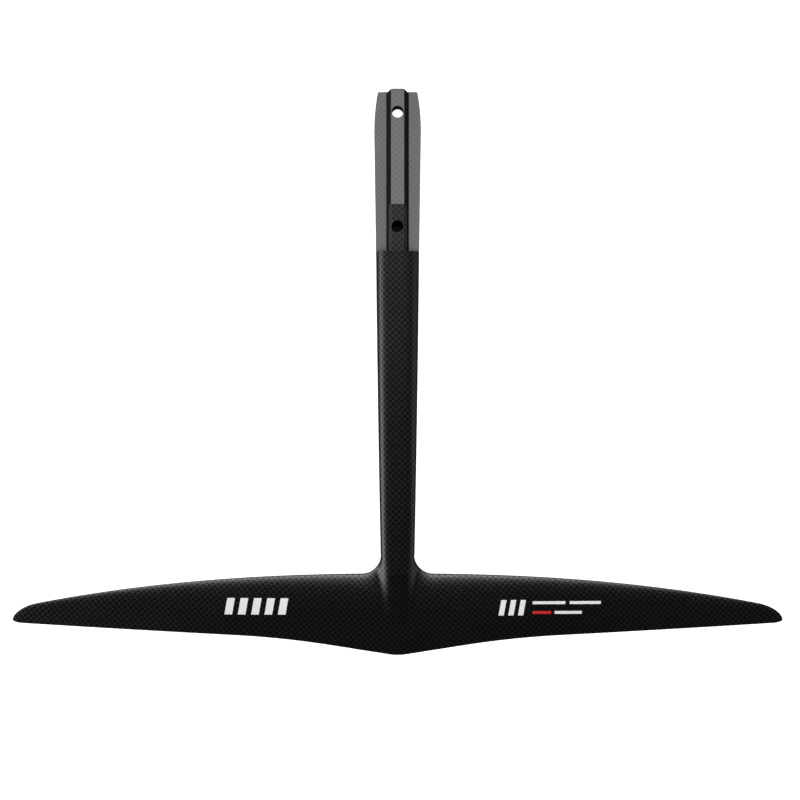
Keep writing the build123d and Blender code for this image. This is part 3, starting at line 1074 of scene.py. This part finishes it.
    def build(self, material: Material) -> list[Object]:
        """Builds both skins.

        Args:
            material: The lacquered carbon.

        Returns:
            The two pieces.
        """
        pieces = []
        for face in Face:
            bm = self._shell(face)
            open_edges = sum(1 for edge in bm.edges if not edge.is_manifold)
            log.info("%s skin: %d edges not closed", face.name.lower(), open_edges)
            node = f"{face.name.lower()}_skin"
            pieces.append(finish_piece(bm, f"moulded_{node}", [material], [node]))
        return pieces


@dataclass
class Tenon:
    """The solid tenon: sanded deck, raised rail, bolt holes and the plug inside the boom."""

    lines: TailLines
    nose_front: float = 12.5 * MM
    nose_half_width: float = 10.7 * MM
    belly_half_width: float = 12.6 * MM
    belly_back: float = 8.6 * MM
    rail_height: float = 11 * MM
    rail_top: float = 7.05 * MM
    rail_foot: float = 11.1 * MM
    sanded_rail_back: float = 49.1 * MM
    rail_step: float = 0.1 * MM
    weld: float = 0.0005 * MM
    side_round: tuple[Place, ...] = ((0.66, 0.26), (0.56, 0.62), (0.42, 0.84), (0.22, 0.96))
    foot_fillet: float = 0.5 * MM
    deck_edge: float = 0.15 * MM
    nose_edge: float = 0.35 * MM
    plug_length: float = 38 * MM
    bond: float = 0.05 * MM
    hole_radius: float = 3.1 * MM
    hole_edge: float = 0.15 * MM
    recess_radius: float = 5.5 * MM
    insert_radius: float = 4 * MM
    stations: int = 24
    belly_points: int = 40
    plug_points: int = 72
    plug_steps: int = 4

    def half_width(self, y: float) -> float:
        """Half width of the deck at y."""
        if y > -self.belly_back:
            share = (y + self.belly_back) / (self.nose_front + self.belly_back)
            return self.belly_half_width - (self.belly_half_width - self.nose_half_width) * share**2
        share = (-self.belly_back - y) / (self.lines.shoulder_back - self.belly_back)
        return self.belly_half_width - (self.belly_half_width - self.lines.front_half_width) * share

    def _ring(self, y: float) -> list[Vector]:
        """Corners of the tenon's section at y, round from the deck's right edge."""
        power = 2 / self.lines.section_power
        wide = self.half_width(y)
        foot = self.rail_foot / 2
        top = self.rail_top / 2
        full = y < -self.sanded_rail_back
        wall = []
        for share_x, share_z in self.side_round:
            height = self.rail_height * share_z
            straight = foot - (foot - top) * share_z
            rounded = top + (foot - top) * share_x
            wall.append((rounded if full else straight, height))
        wall.append((top, self.rail_height))
        points = [Vector((wide, y, 0)), Vector((foot, y, 0))]
        points += [Vector((x, y, z)) for x, z in wall]
        points += [Vector((0, y, self.rail_height))]
        points += [Vector((-x, y, z)) for x, z in reversed(wall)]
        points += [Vector((-foot, y, 0)), Vector((-wide, y, 0))]
        for i in range(1, self.belly_points):
            angle = math.pi * i / self.belly_points
            across = -math.copysign(abs(math.cos(angle)) ** power, math.cos(angle))
            points.append(Vector((wide * across, y, -self.lines.body_half_height * math.sin(angle) ** power)))
        return points

    def _body(self) -> BMesh:
        """Body and rail, extruded from the nose to the shoulder and closed."""
        bm = bmesh.new()
        length = self.nose_front + self.lines.shoulder_back
        ys = [self.nose_front - length * i / self.stations for i in range(1, self.stations + 1)]
        ys = sorted(ys + [-self.sanded_rail_back, -self.sanded_rail_back - self.rail_step], reverse=True)
        ring = [bm.verts.new(point) for point in self._ring(self.nose_front)]
        edges = [bm.edges.new(pair) for pair in zip(ring, ring[1:] + ring[:1])]
        bm.faces.new(ring)
        for y in ys:
            grown = bmesh.ops.extrude_edge_only(bm, edges=edges)["geom"]
            edges = [item for item in grown if isinstance(item, BMEdge)]
            fresh = {item for item in grown if isinstance(item, BMVert)}
            ends = [[edge.other_vert(old) for edge in old.link_edges] for old in ring]
            ring = [next(end for end in near if end in fresh) for near in ends]
            for vert, point in zip(ring, self._ring(y)):
                vert.co = point
        bm.faces.new(ring)
        bmesh.ops.recalc_face_normals(bm, faces=bm.faces)
        self._soften(bm)
        return bm

    def _soften(self, bm: BMesh) -> None:
        """Rounds the rail's foot, the deck's edges and the nose."""

        def run(x: float, z: float) -> list[BMEdge]:
            """Edges along the tenon at a height and distance from the middle."""
            found = []
            for edge in bm.edges:
                ends = edge.verts
                along = abs(ends[0].co.y - ends[1].co.y) > 0.1 * MM
                if not along or any(abs(end.co.z - z) > 0.01 * MM for end in ends):
                    continue
                if x > 0 and all(abs(abs(end.co.x) - x) < 0.01 * MM for end in ends):
                    found.append(edge)
                if x == 0 and all(abs(abs(end.co.x) - self.half_width(end.co.y)) < 0.01 * MM for end in ends):
                    found.append(edge)
            return found

        round_edges(bm, run(self.rail_foot / 2, 0.0), self.foot_fillet, 4)
        round_edges(bm, run(0, 0.0), self.deck_edge, 2)
        nose = [
            edge
            for edge in bm.edges
            if all(abs(end.co.y - self.nose_front) < 0.001 * MM for end in edge.verts)
        ]
        round_edges(bm, nose, self.nose_edge, 2)

    def _plug(self, bm: BMesh) -> None:
        """Adds the plug that fills the boom's front end."""
        lines = self.lines
        gap = lines.skin + self.bond
        disc = bmesh.ops.create_circle(bm, cap_ends=True, segments=self.plug_points, radius=1.0)
        base = disc["verts"]
        power = 2 / lines.section_power
        angles = {vert: math.atan2(vert.co.y, vert.co.x) for vert in base}

        def seat(verts: dict[BMVert, float], y: float) -> None:
            """Shapes a ring to the boom's inside at y."""
            for vert, angle in verts.items():
                across = math.copysign(abs(math.cos(angle)) ** power, math.cos(angle))
                up = math.copysign(abs(math.sin(angle)) ** power, math.sin(angle))
                wide = lines.boom_half_width(y) - gap
                tall = lines.boom_half_height(y) - gap
                vert.co = (wide * across, y, tall * up)

        seat(angles, -lines.shoulder_back)
        faces = [face for face in bm.faces if all(vert in angles for vert in face.verts)]
        for step in range(1, self.plug_steps + 1):
            grown = bmesh.ops.extrude_face_region(bm, geom=faces)["geom"]
            verts = [item for item in grown if isinstance(item, BMVert)]
            turned = {}
            for vert in verts:
                old = next(e.other_vert(vert) for e in vert.link_edges if e.other_vert(vert) in angles)
                turned[vert] = angles[old]
            seat(turned, -lines.shoulder_back - self.plug_length * step / self.plug_steps)
            if step > 1:
                bmesh.ops.delete(bm, geom=faces, context="FACES_ONLY")
            faces = [item for item in grown if isinstance(item, BMFace)]
            angles = turned

    def _cutter(self, outline: list[Place], y: float, name: str) -> Object:
        """Closed turned solid that cuts a hole.

        Args:
            outline: Radius and height of each corner, top to bottom.
            y: Place of its axis.
            name: Name of the cutter.

        Returns:
            An object in the scene, to be removed afterwards.
        """
        bm = bmesh.new()
        lathe(bm, outline, Vector((0, y, 0)))
        bmesh.ops.recalc_face_normals(bm, faces=bm.faces)
        return place_mesh(bm, name)

    def _cutters(self) -> list[Object]:
        """Cutters for the front bolt and for the rear bolt with its insert."""
        insert_low, insert_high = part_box("rear_thread_insert")
        top = self.rail_height
        clear = top + 1 * MM
        radius = self.hole_radius
        mouth = [(0.0, clear), (radius + self.hole_edge, clear), (radius + self.hole_edge, top),
                 (radius, top - self.hole_edge)]
        below = -self.lines.body_half_height - 1 * MM
        front = mouth + [(radius, 0.0), (self.recess_radius, 0.0), (self.recess_radius, below), (0.0, below)]
        pocket = self.insert_radius + self.bond
        roof = insert_high.z + self.bond
        floor = insert_low.z - self.bond
        rear = mouth + [(radius, roof), (pocket, roof), (pocket, floor), (0.0, floor)]
        rear_y = (insert_low.y + insert_high.y) / 2
        return [self._cutter(front, 0.0, "front_drill"), self._cutter(rear, rear_y, "rear_drill")]

    def _paint(self, piece: Object) -> None:
        """Sorts the faces by finish: 0 lacquered, 1 sanded, 2 drilled, 3 matt, 4 machined; 2 and 4 carry
        painted shade in their near-black colours.
        """
        rear_y = sum(corner.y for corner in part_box("rear_thread_insert")) / 2
        for polygon in piece.data.polygons:
            place = polygon.center
            flat = polygon.normal.z > 0.99
            deck = flat and abs(place.z) < 0.02 * MM and abs(place.x) > self.rail_foot / 2
            top = flat and place.z > self.rail_height - 0.02 * MM and place.y > -self.sanded_rail_back
            drilled = any(
                math.hypot(place.x, place.y - y) < self.recess_radius + 0.05 * MM
                and polygon.normal.dot(Vector((place.x, place.y - y, 0.0)).normalized()) < -0.5
                for y in (0.0, rear_y)
            )
            inside = math.hypot(place.x, place.y) < self.recess_radius
            roofs = inside and polygon.normal.z < -0.9 and place.z > -1 * MM
            rail = place.y > -self.lines.shoulder_back and place.z > 0
            rail = rail and abs(place.x) < self.rail_foot / 2 + self.foot_fillet
            woven = rail and place.y < -self.sanded_rail_back and place.z > 0.4 * self.rail_height
            end = abs(polygon.normal.y) > 0.7 and place.z > 0
            if drilled or roofs:
                # bores and recess roofs: the laminate whose near-black colour is painted shade
                polygon.material_index = 2
            elif deck or top:
                polygon.material_index = 1
            elif woven:
                polygon.material_index = 3
            elif rail or end:
                # rail walls and step ends: the machined finish whose near-black colour is painted shade
                polygon.material_index = 4
            else:
                polygon.material_index = 0

    def _chart(self, bm: BMesh) -> None:
        """Lays the cloth on the tenon, square to its length."""
        layer = bm.loops.layers.uv.new("boom_cloth")
        other = bm.loops.layers.uv.new("wing_cloth")
        for face in bm.faces:
            sizes = [abs(part) for part in face.normal]
            for loop in face.loops:
                x, y, z = loop.vert.co
                if sizes[1] > max(sizes[0], sizes[2]):
                    chart = (x, z)
                elif sizes[0] > sizes[2]:
                    chart = (z, y)
                else:
                    chart = (x, y)
                loop[layer].uv = chart
                loop[other].uv = chart

    def build(self, materials: list[Material]) -> Object:
        """Builds the tenon.

        Args:
            materials: Lacquered, sanded, drilled, matt and machined laminate; the drilled and machined ones
                are near black as painted shade.

        Returns:
            The piece.
        """
        bm = self._body()
        self._plug(bm)
        bmesh.ops.recalc_face_normals(bm, faces=bm.faces)
        self._chart(bm)
        piece = finish_piece(bm, "tenon_and_rail", materials, ["tenon_block"], 30.0)
        cutters = self._cutters()
        for cutter in cutters:
            cut = piece.modifiers.new(cutter.name, "BOOLEAN")
            cut.operation = "DIFFERENCE"
            cut.solver = "EXACT"
            cut.object = cutter
        graph = bpy.context.evaluated_depsgraph_get()
        carved = bpy.data.meshes.new_from_object(piece.evaluated_get(graph), depsgraph=graph)
        bm = bmesh.new()
        bm.from_mesh(carved)
        bmesh.ops.remove_doubles(bm, verts=bm.verts, dist=self.weld)
        bmesh.ops.dissolve_degenerate(bm, edges=bm.edges, dist=self.weld)
        torn = [edge for edge in bm.edges if edge.is_boundary]
        bmesh.ops.holes_fill(bm, edges=torn, sides=8)
        bmesh.ops.recalc_face_normals(bm, faces=bm.faces)
        log.info("tenon: %d edges not closed", sum(not edge.is_manifold for edge in bm.edges))
        bm.to_mesh(carved)
        bm.free()
        piece.modifiers.clear()
        piece.data = carved
        for cutter in cutters:
            bpy.data.objects.remove(cutter)
        carved.set_sharp_from_angle(angle=math.radians(30))
        self._paint(piece)
        return piece


@dataclass
class ThreadInsert:
    """Steel insert in the rear hole, with a real thread inside."""

    outer_radius: float = 4 * MM
    root_radius: float = 3.0 * MM
    minor_radius: float = 2.5 * MM
    pitch: float = 1.0 * MM
    edge: float = 0.3 * MM
    steps: int = 32

    def build(self, material: Material) -> Object:
        """Builds the insert.

        Args:
            material: Black-oxided steel.

        Returns:
            The piece.
        """
        low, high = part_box("rear_thread_insert")
        centre = Vector(((low.x + high.x) / 2, (low.y + high.y) / 2, 0.0))
        top = high.z
        floor = low.z
        bm = bmesh.new()
        lathe(
            bm,
            [
                (self.root_radius, top - self.edge),
                (self.root_radius + self.edge, top),
                (self.outer_radius - self.edge / 2, top),
                (self.outer_radius, top - self.edge / 2),
                (self.outer_radius, floor + self.edge / 2),
                (self.outer_radius - self.edge / 2, floor),
                (self.root_radius + self.edge, floor),
                (self.root_radius, floor + self.edge),
            ],
            centre,
        )
        turns = int((top - floor - 3 * self.edge) / self.pitch) - 1
        start = floor + 2 * self.edge
        ridge = [
            (self.root_radius + 0.05 * MM, start),
            (self.minor_radius, start + self.pitch * 0.38),
            (self.minor_radius, start + self.pitch * 0.52),
            (self.root_radius + 0.05 * MM, start + self.pitch * 0.9),
        ]
        corners = [bm.verts.new((centre.x + radius, centre.y, z)) for radius, z in ridge]
        first = bm.faces.new(corners)
        rim = list(first.edges)
        made = bmesh.ops.spin(
            bm,
            geom=corners + rim,
            cent=centre,
            axis=(0.0, 0.0, 1.0),
            dvec=(0.0, 0.0, self.pitch / self.steps),
            angle=2 * math.pi * turns,
            steps=self.steps * turns,
            use_merge=False,
        )
        last = [item for item in made["geom_last"] if isinstance(item, BMVert)]
        bmesh.ops.contextual_create(bm, geom=last)
        bmesh.ops.recalc_face_normals(bm, faces=bm.faces)
        return finish_piece(bm, "threaded_insert", [material], ["rear_thread_insert"], 25.0)


@dataclass(frozen=True)
class Bar:
    """One printed bar: centre, length along the span, height along the chord and slant."""

    x: float
    y: float
    length: float
    height: float
    slant: float = 0.0


@dataclass
class PrintedMarks:
    """Plain printed bars on the wing's upper face, in place of lettering."""

    lines: TailLines
    lift: float = 0.02 * MM
    film: float = 0.03 * MM
    cell: float = 1.0 * MM
    slant: float = 0.18
    tall: float = 0.92
    thin: float = 0.36

    def _lay(self, bm: BMesh, bar: Bar) -> None:
        """Lays one bar on the wing and gives it its thickness."""
        columns = max(2, round(bar.length / self.cell))
        rows = max(2, round(bar.height / self.cell))
        made = bmesh.ops.create_grid(bm, x_segments=columns, y_segments=rows, size=0.5)
        for vert in made["verts"]:
            x = bar.x + vert.co.x * bar.length + vert.co.y * bar.height * bar.slant
            y = bar.y + vert.co.y * bar.height
            vert.co = (x, y, self.lines.parting(x) + self.lines.half_height(x, y) + self.lift)
        faces = list({face for vert in made["verts"] for face in vert.link_faces})
        bmesh.ops.recalc_face_normals(bm, faces=faces)
        if faces[0].normal.z < 0:
            bmesh.ops.reverse_faces(bm, faces=faces)
        bmesh.ops.solidify(bm, geom=faces, thickness=-self.film)

    def _piece(self, name: str, bars: list[Bar], material: Material, node: str) -> Object:
        """Builds one mark from its bars."""
        bm = bmesh.new()
        for bar in bars:
            self._lay(bm, bar)
        bmesh.ops.recalc_face_normals(bm, faces=bm.faces)
        return finish_piece(bm, name, [material], [node], 60.0)

    def build(self, white: Material, red: Material) -> list[Object]:
        """Builds the five marks inside the places that the CAD gives them.

        Args:
            white: White ink.
            red: Red ink.

        Returns:
            The pieces.
        """

        def middle(node: str) -> tuple[Vector, Vector]:
            """Centre and size of a node's box."""
            low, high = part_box(node)
            return (low + high) / 2, high - low

        centre, size = middle("mark_left")
        left = [
            Bar(centre.x + (i - 2) * size.x / 5, centre.y, size.x * 0.115, size.y * self.tall, self.slant)
            for i in range(5)
        ]
        centre, size = middle("mark_right_block")
        block = [
            Bar(centre.x + (i - 1) * size.x / 3.2, centre.y, size.x * 0.17, size.y * self.tall, self.slant)
            for i in range(3)
        ]
        centre, size = middle("mark_right_long_bar")
        upper = [
            Bar(centre.x - size.x * 0.26, centre.y, size.x * 0.46, size.y * self.thin),
            Bar(centre.x + size.x * 0.25, centre.y, size.x * 0.44, size.y * self.thin),
        ]
        centre, size = middle("mark_right_red_bar")
        lower_red = [Bar(centre.x, centre.y, size.x * 0.92, size.y * self.thin)]
        centre, size = middle("mark_right_short_bar")
        lower_white = [Bar(centre.x, centre.y, size.x * 0.92, size.y * self.thin)]
        return [
            self._piece("left_slanted_bars", left, white, "mark_left"),
            self._piece("right_slanted_bars", block, white, "mark_right_block"),
            self._piece("right_upper_dashes", upper, white, "mark_right_long_bar"),
            self._piece("right_red_dash", lower_red, red, "mark_right_red_bar"),
            self._piece("right_lower_dash", lower_white, white, "mark_right_short_bar"),
        ]


@dataclass
class HiddenStructure:
    """Pieces sealed inside the skins; they keep their own shape and get a finish each."""

    foam: Material
    paste: Material
    span_fibre: Material
    boom_fibre: Material
    laminate: Material

    def build(self) -> None:
        """Gives each sealed piece its material."""
        finishes = (
            (self.foam, ("boom_core", "wing_core_left", "wing_core_right")),
            (self.paste, [f"{edge}_edge_bead_{side}" for edge in ("leading", "trailing") for side in SIDES]),
            (self.span_fibre, ("wing_spar_cap_upper", "wing_spar_cap_lower")),
            (self.boom_fibre, ("boom_cap_upper", "boom_cap_lower")),
            (self.laminate, ("root_block",)),
        )
        for material, nodes in finishes:
            for node in nodes:
                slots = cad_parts[node].data.materials
                slots.clear()
                slots.append(material)
                log.info("%s: %s", node, material.name)


# ------------------------------------------------------------------ studio


@dataclass(frozen=True)
class SoftBox:
    """One soft area light, aimed at the object and kept out of reflections."""

    name: str
    place: tuple[float, float, float]
    size: tuple[float, float]
    watts: float
    target: Stretch = (0.0, -0.17, 0.0)

    def build(self) -> Object:
        """Adds the light and aims it."""
        lamp = bpy.data.lights.new(self.name, "AREA")
        lamp.shape = "RECTANGLE"
        lamp.size, lamp.size_y = self.size
        lamp.energy = self.watts
        light = bpy.data.objects.new(self.name, lamp)
        light.location = self.place
        way = Vector(self.target) - Vector(self.place)
        light.rotation_euler = way.to_track_quat("-Z", "Y").to_euler()
        light.visible_glossy = False
        light.visible_camera = False
        bpy.context.scene.collection.objects.link(light)
        return light


@dataclass(frozen=True)
class Glow:
    """One soft light in the surroundings, seen in gloss only."""

    azimuth: float
    tilt: float
    spread: float
    focus: float
    strength: float


@dataclass
class Studio:
    """Pale floor, soft lights and the camera nearly straight above."""

    glows: tuple[Glow, ...] = (
        Glow(math.radians(-90), math.radians(78), math.radians(17), 2.0, 2.1),
        Glow(math.radians(-5), math.radians(50), math.radians(17), 4.0, 2.8),
        Glow(math.radians(90), math.radians(84), math.radians(20), 2.0, 0.35),
    )
    gloss_floor: float = 0.045
    ambient: float = 0.25
    panel_height: float = 0.30
    panel_half: float = 0.45
    panel_strength: float = 0.29
    panel_fade: float = 0.08
    fill: SoftBox = SoftBox("overhead_fill", (0.0, -0.15, 1.6), (1.0, 1.0), 20.8)
    floor_drop: float = 11.2 * MM
    floor_half: float = 3.0
    camera_place: tuple[float, float, float] = (1.295 * MM, -153.75 * MM, 959.5 * MM)
    focal_length: float = 80.0

    def _sheet(self, name: str, half: float, height: float) -> tuple[Object, Bench]:
        """Level square with a new material.

        Args:
            name: Name of the sheet.
            half: Half its side.
            height: Its height.

        Returns:
            The staged sheet and a bench on its material.
        """
        bm = bmesh.new()
        bmesh.ops.create_grid(bm, x_segments=2, y_segments=2, size=half)
        bmesh.ops.translate(bm, verts=bm.verts, vec=(0.0, 0.0, height))
        sheet = place_mesh(bm, name)
        material = bpy.data.materials.new(name)
        material.use_nodes = True
        sheet.data.materials.append(material)
        sheet.visible_diffuse = False
        return sheet, Bench(material.node_tree)

    def _floor(self) -> Object:
        """Pale floor that lights the scene a little and stays out of reflections."""
        floor, bench = self._sheet("studio_floor", self.floor_half, -self.floor_drop)
        shader = next(n for n in bench.tree.nodes if n.type == "BSDF_PRINCIPLED")
        bench.feed(shader.inputs["Base Color"], (0.85, 0.85, 0.85, 1.0))
        bench.feed(shader.inputs["Roughness"], 0.9)
        bench.feed(shader.inputs["Emission Color"], (1.0, 1.0, 1.0, 1.0))
        bench.feed(shader.inputs["Emission Strength"], 0.9)
        # see-through from underneath
        either = bench.add("ShaderNodeMixShader")
        bench.feed(either.inputs[0], bench.add("ShaderNodeNewGeometry").outputs["Backfacing"])
        bench.feed(either.inputs[1], shader.outputs[0])
        bench.feed(either.inputs[2], bench.add("ShaderNodeBsdfTransparent").outputs[0])
        out = next(n for n in bench.tree.nodes if n.type == "OUTPUT_MATERIAL")
        bench.feed(out.inputs[0], either.outputs[0])
        floor.visible_glossy = False
        return floor

    def _panel(self) -> Object:
        """Soft reflector above the tenon, seen in gloss only, that fades towards its rim."""
        panel, bench = self._sheet("studio_reflector", self.panel_half, self.panel_height)
        bench.tree.nodes.clear()
        x, y, _ = bench.split(bench.add("ShaderNodeTexCoord").outputs["Object"])
        away = bench.sum("SQRT", bench.plus(bench.times(x, x), bench.times(y, y)))
        fade = bench.sum("EXPONENT", bench.sum("DIVIDE", away, -self.panel_fade))
        glow = bench.add("ShaderNodeEmission")
        bench.feed(glow.inputs["Strength"], bench.times(fade, self.panel_strength))
        both = bench.add("ShaderNodeAddShader")
        bench.feed(both.inputs[0], glow.outputs[0])
        bench.feed(both.inputs[1], bench.add("ShaderNodeBsdfTransparent").outputs[0])
        bench.feed(bench.add("ShaderNodeOutputMaterial").inputs[0], both.outputs[0])
        panel.visible_camera = False
        panel.visible_shadow = False
        return panel

    def _gloss_sky(self, bench: Bench) -> NodeSocket:
        """Strength of the surroundings in reflections: dark above, soft lights low down.

        Args:
            bench: Bench on the surroundings' tree.

        Returns:
            The strength by direction.
        """
        x, y, z = bench.split(bench.add("ShaderNodeTexCoord").outputs["Generated"])
        tilt = bench.sum("ARCCOSINE", z)
        flat = bench.sum("MAXIMUM", bench.sum("SINE", tilt), 0.001)
        strength: object = self.gloss_floor
        for glow in self.glows:
            side = bench.plus(bench.times(x, math.sin(glow.azimuth)), bench.times(y, math.cos(glow.azimuth)))
            ahead = bench.sum("MAXIMUM", bench.sum("DIVIDE", side, flat), 0.0)
            facing = bench.sum("POWER", ahead, glow.focus)
            off = bench.sum("DIVIDE", bench.less(tilt, glow.tilt), glow.spread)
            bell = bench.sum("EXPONENT", bench.times(bench.times(off, off), -0.5))
            lit = bench.times(bench.times(facing, bell), glow.strength)
            strength = bench.plus(strength, lit)
        return strength

    def _world(self) -> None:
        """Pale surroundings to look at, and soft lights low down in reflections."""
        world = bpy.data.worlds.new("studio_surroundings")
        world.use_nodes = True
        bpy.context.scene.world = world
        tree = world.node_tree
        tree.nodes.clear()
        bench = Bench(tree)
        pale = bench.add("ShaderNodeBackground")
        dim = bench.add("ShaderNodeBackground")
        for background in (pale, dim):
            background.inputs["Color"].default_value = (1.0, 1.0, 1.0, 1.0)
        path = bench.add("ShaderNodeLightPath")
        sky = bench.blend(path.outputs["Is Glossy Ray"], self.ambient, self._gloss_sky(bench))
        bench.feed(dim.inputs["Strength"], sky)
        mix = bench.add("ShaderNodeMixShader")
        bench.feed(mix.inputs[0], path.outputs["Is Camera Ray"])
        bench.feed(mix.inputs[1], dim.outputs[0])
        bench.feed(mix.inputs[2], pale.outputs[0])
        out = bench.add("ShaderNodeOutputWorld")
        bench.feed(out.inputs[0], mix.outputs[0])

    def build(self) -> None:
        """Builds the floor, surroundings, lights and camera."""
        self._floor()
        self._panel()
        self._world()
        self.fill.build()
        lens = bpy.data.cameras.new("camera")
        lens.lens = self.focal_length
        lens.clip_start = 0.01
        camera = bpy.data.objects.new("camera", lens)
        camera.location = self.camera_place
        bpy.context.scene.collection.objects.link(camera)
        bpy.context.scene.camera = camera
        bpy.context.scene.view_settings.view_transform = "Standard"


def main() -> None:
    logging.basicConfig(level=logging.INFO, format="%(name)s: %(message)s")
    Studio().build()
    lines = TailLines()
    patterns = SharedPatterns()
    lacquered = LacqueredCarbon().material("lacquered_carbon", patterns)
    sanded = SandedCarbon().material("sanded_carbon", patterns)
    # bores: near-black finish that carries painted shade
    laminate = ShadePaintedPressedLaminate().material("pressed_laminate_painted_shade", patterns)
    matt = MattCloth().material("matt_cloth", patterns)
    # rail walls: near-black finish that carries painted shade
    machined_and_shaded = ShadePaintedMachinedWall().material("machined_wall_painted_shade", patterns)
    MouldedSkins(lines).build(lacquered)
    Tenon(lines).build([lacquered, sanded, laminate, matt, machined_and_shaded])
    ThreadInsert().build(BlackOxide().material("black_oxide_steel", patterns))
    white = PrintedInk().material("white_ink", patterns)
    red_ink = PrintedInk(ink=(0.55, 0.012, 0.014, 1.0), thin=(0.25, 0.01, 0.01, 1.0))
    red = red_ink.material("red_ink", patterns)
    PrintedMarks(lines).build(white, red)
    HiddenStructure(
        foam=RigidFoam().material("core_foam", patterns),
        paste=CuredPaste().material("cured_paste", patterns),
        span_fibre=StraightFibre(way=Way.ALONG_SPAN).material("spanwise_fibre", patterns),
        boom_fibre=StraightFibre(way=Way.ALONG_BOOM).material("lengthwise_fibre", patterns),
        laminate=laminate,
    ).build()


if __name__ == "__main__":
    main()
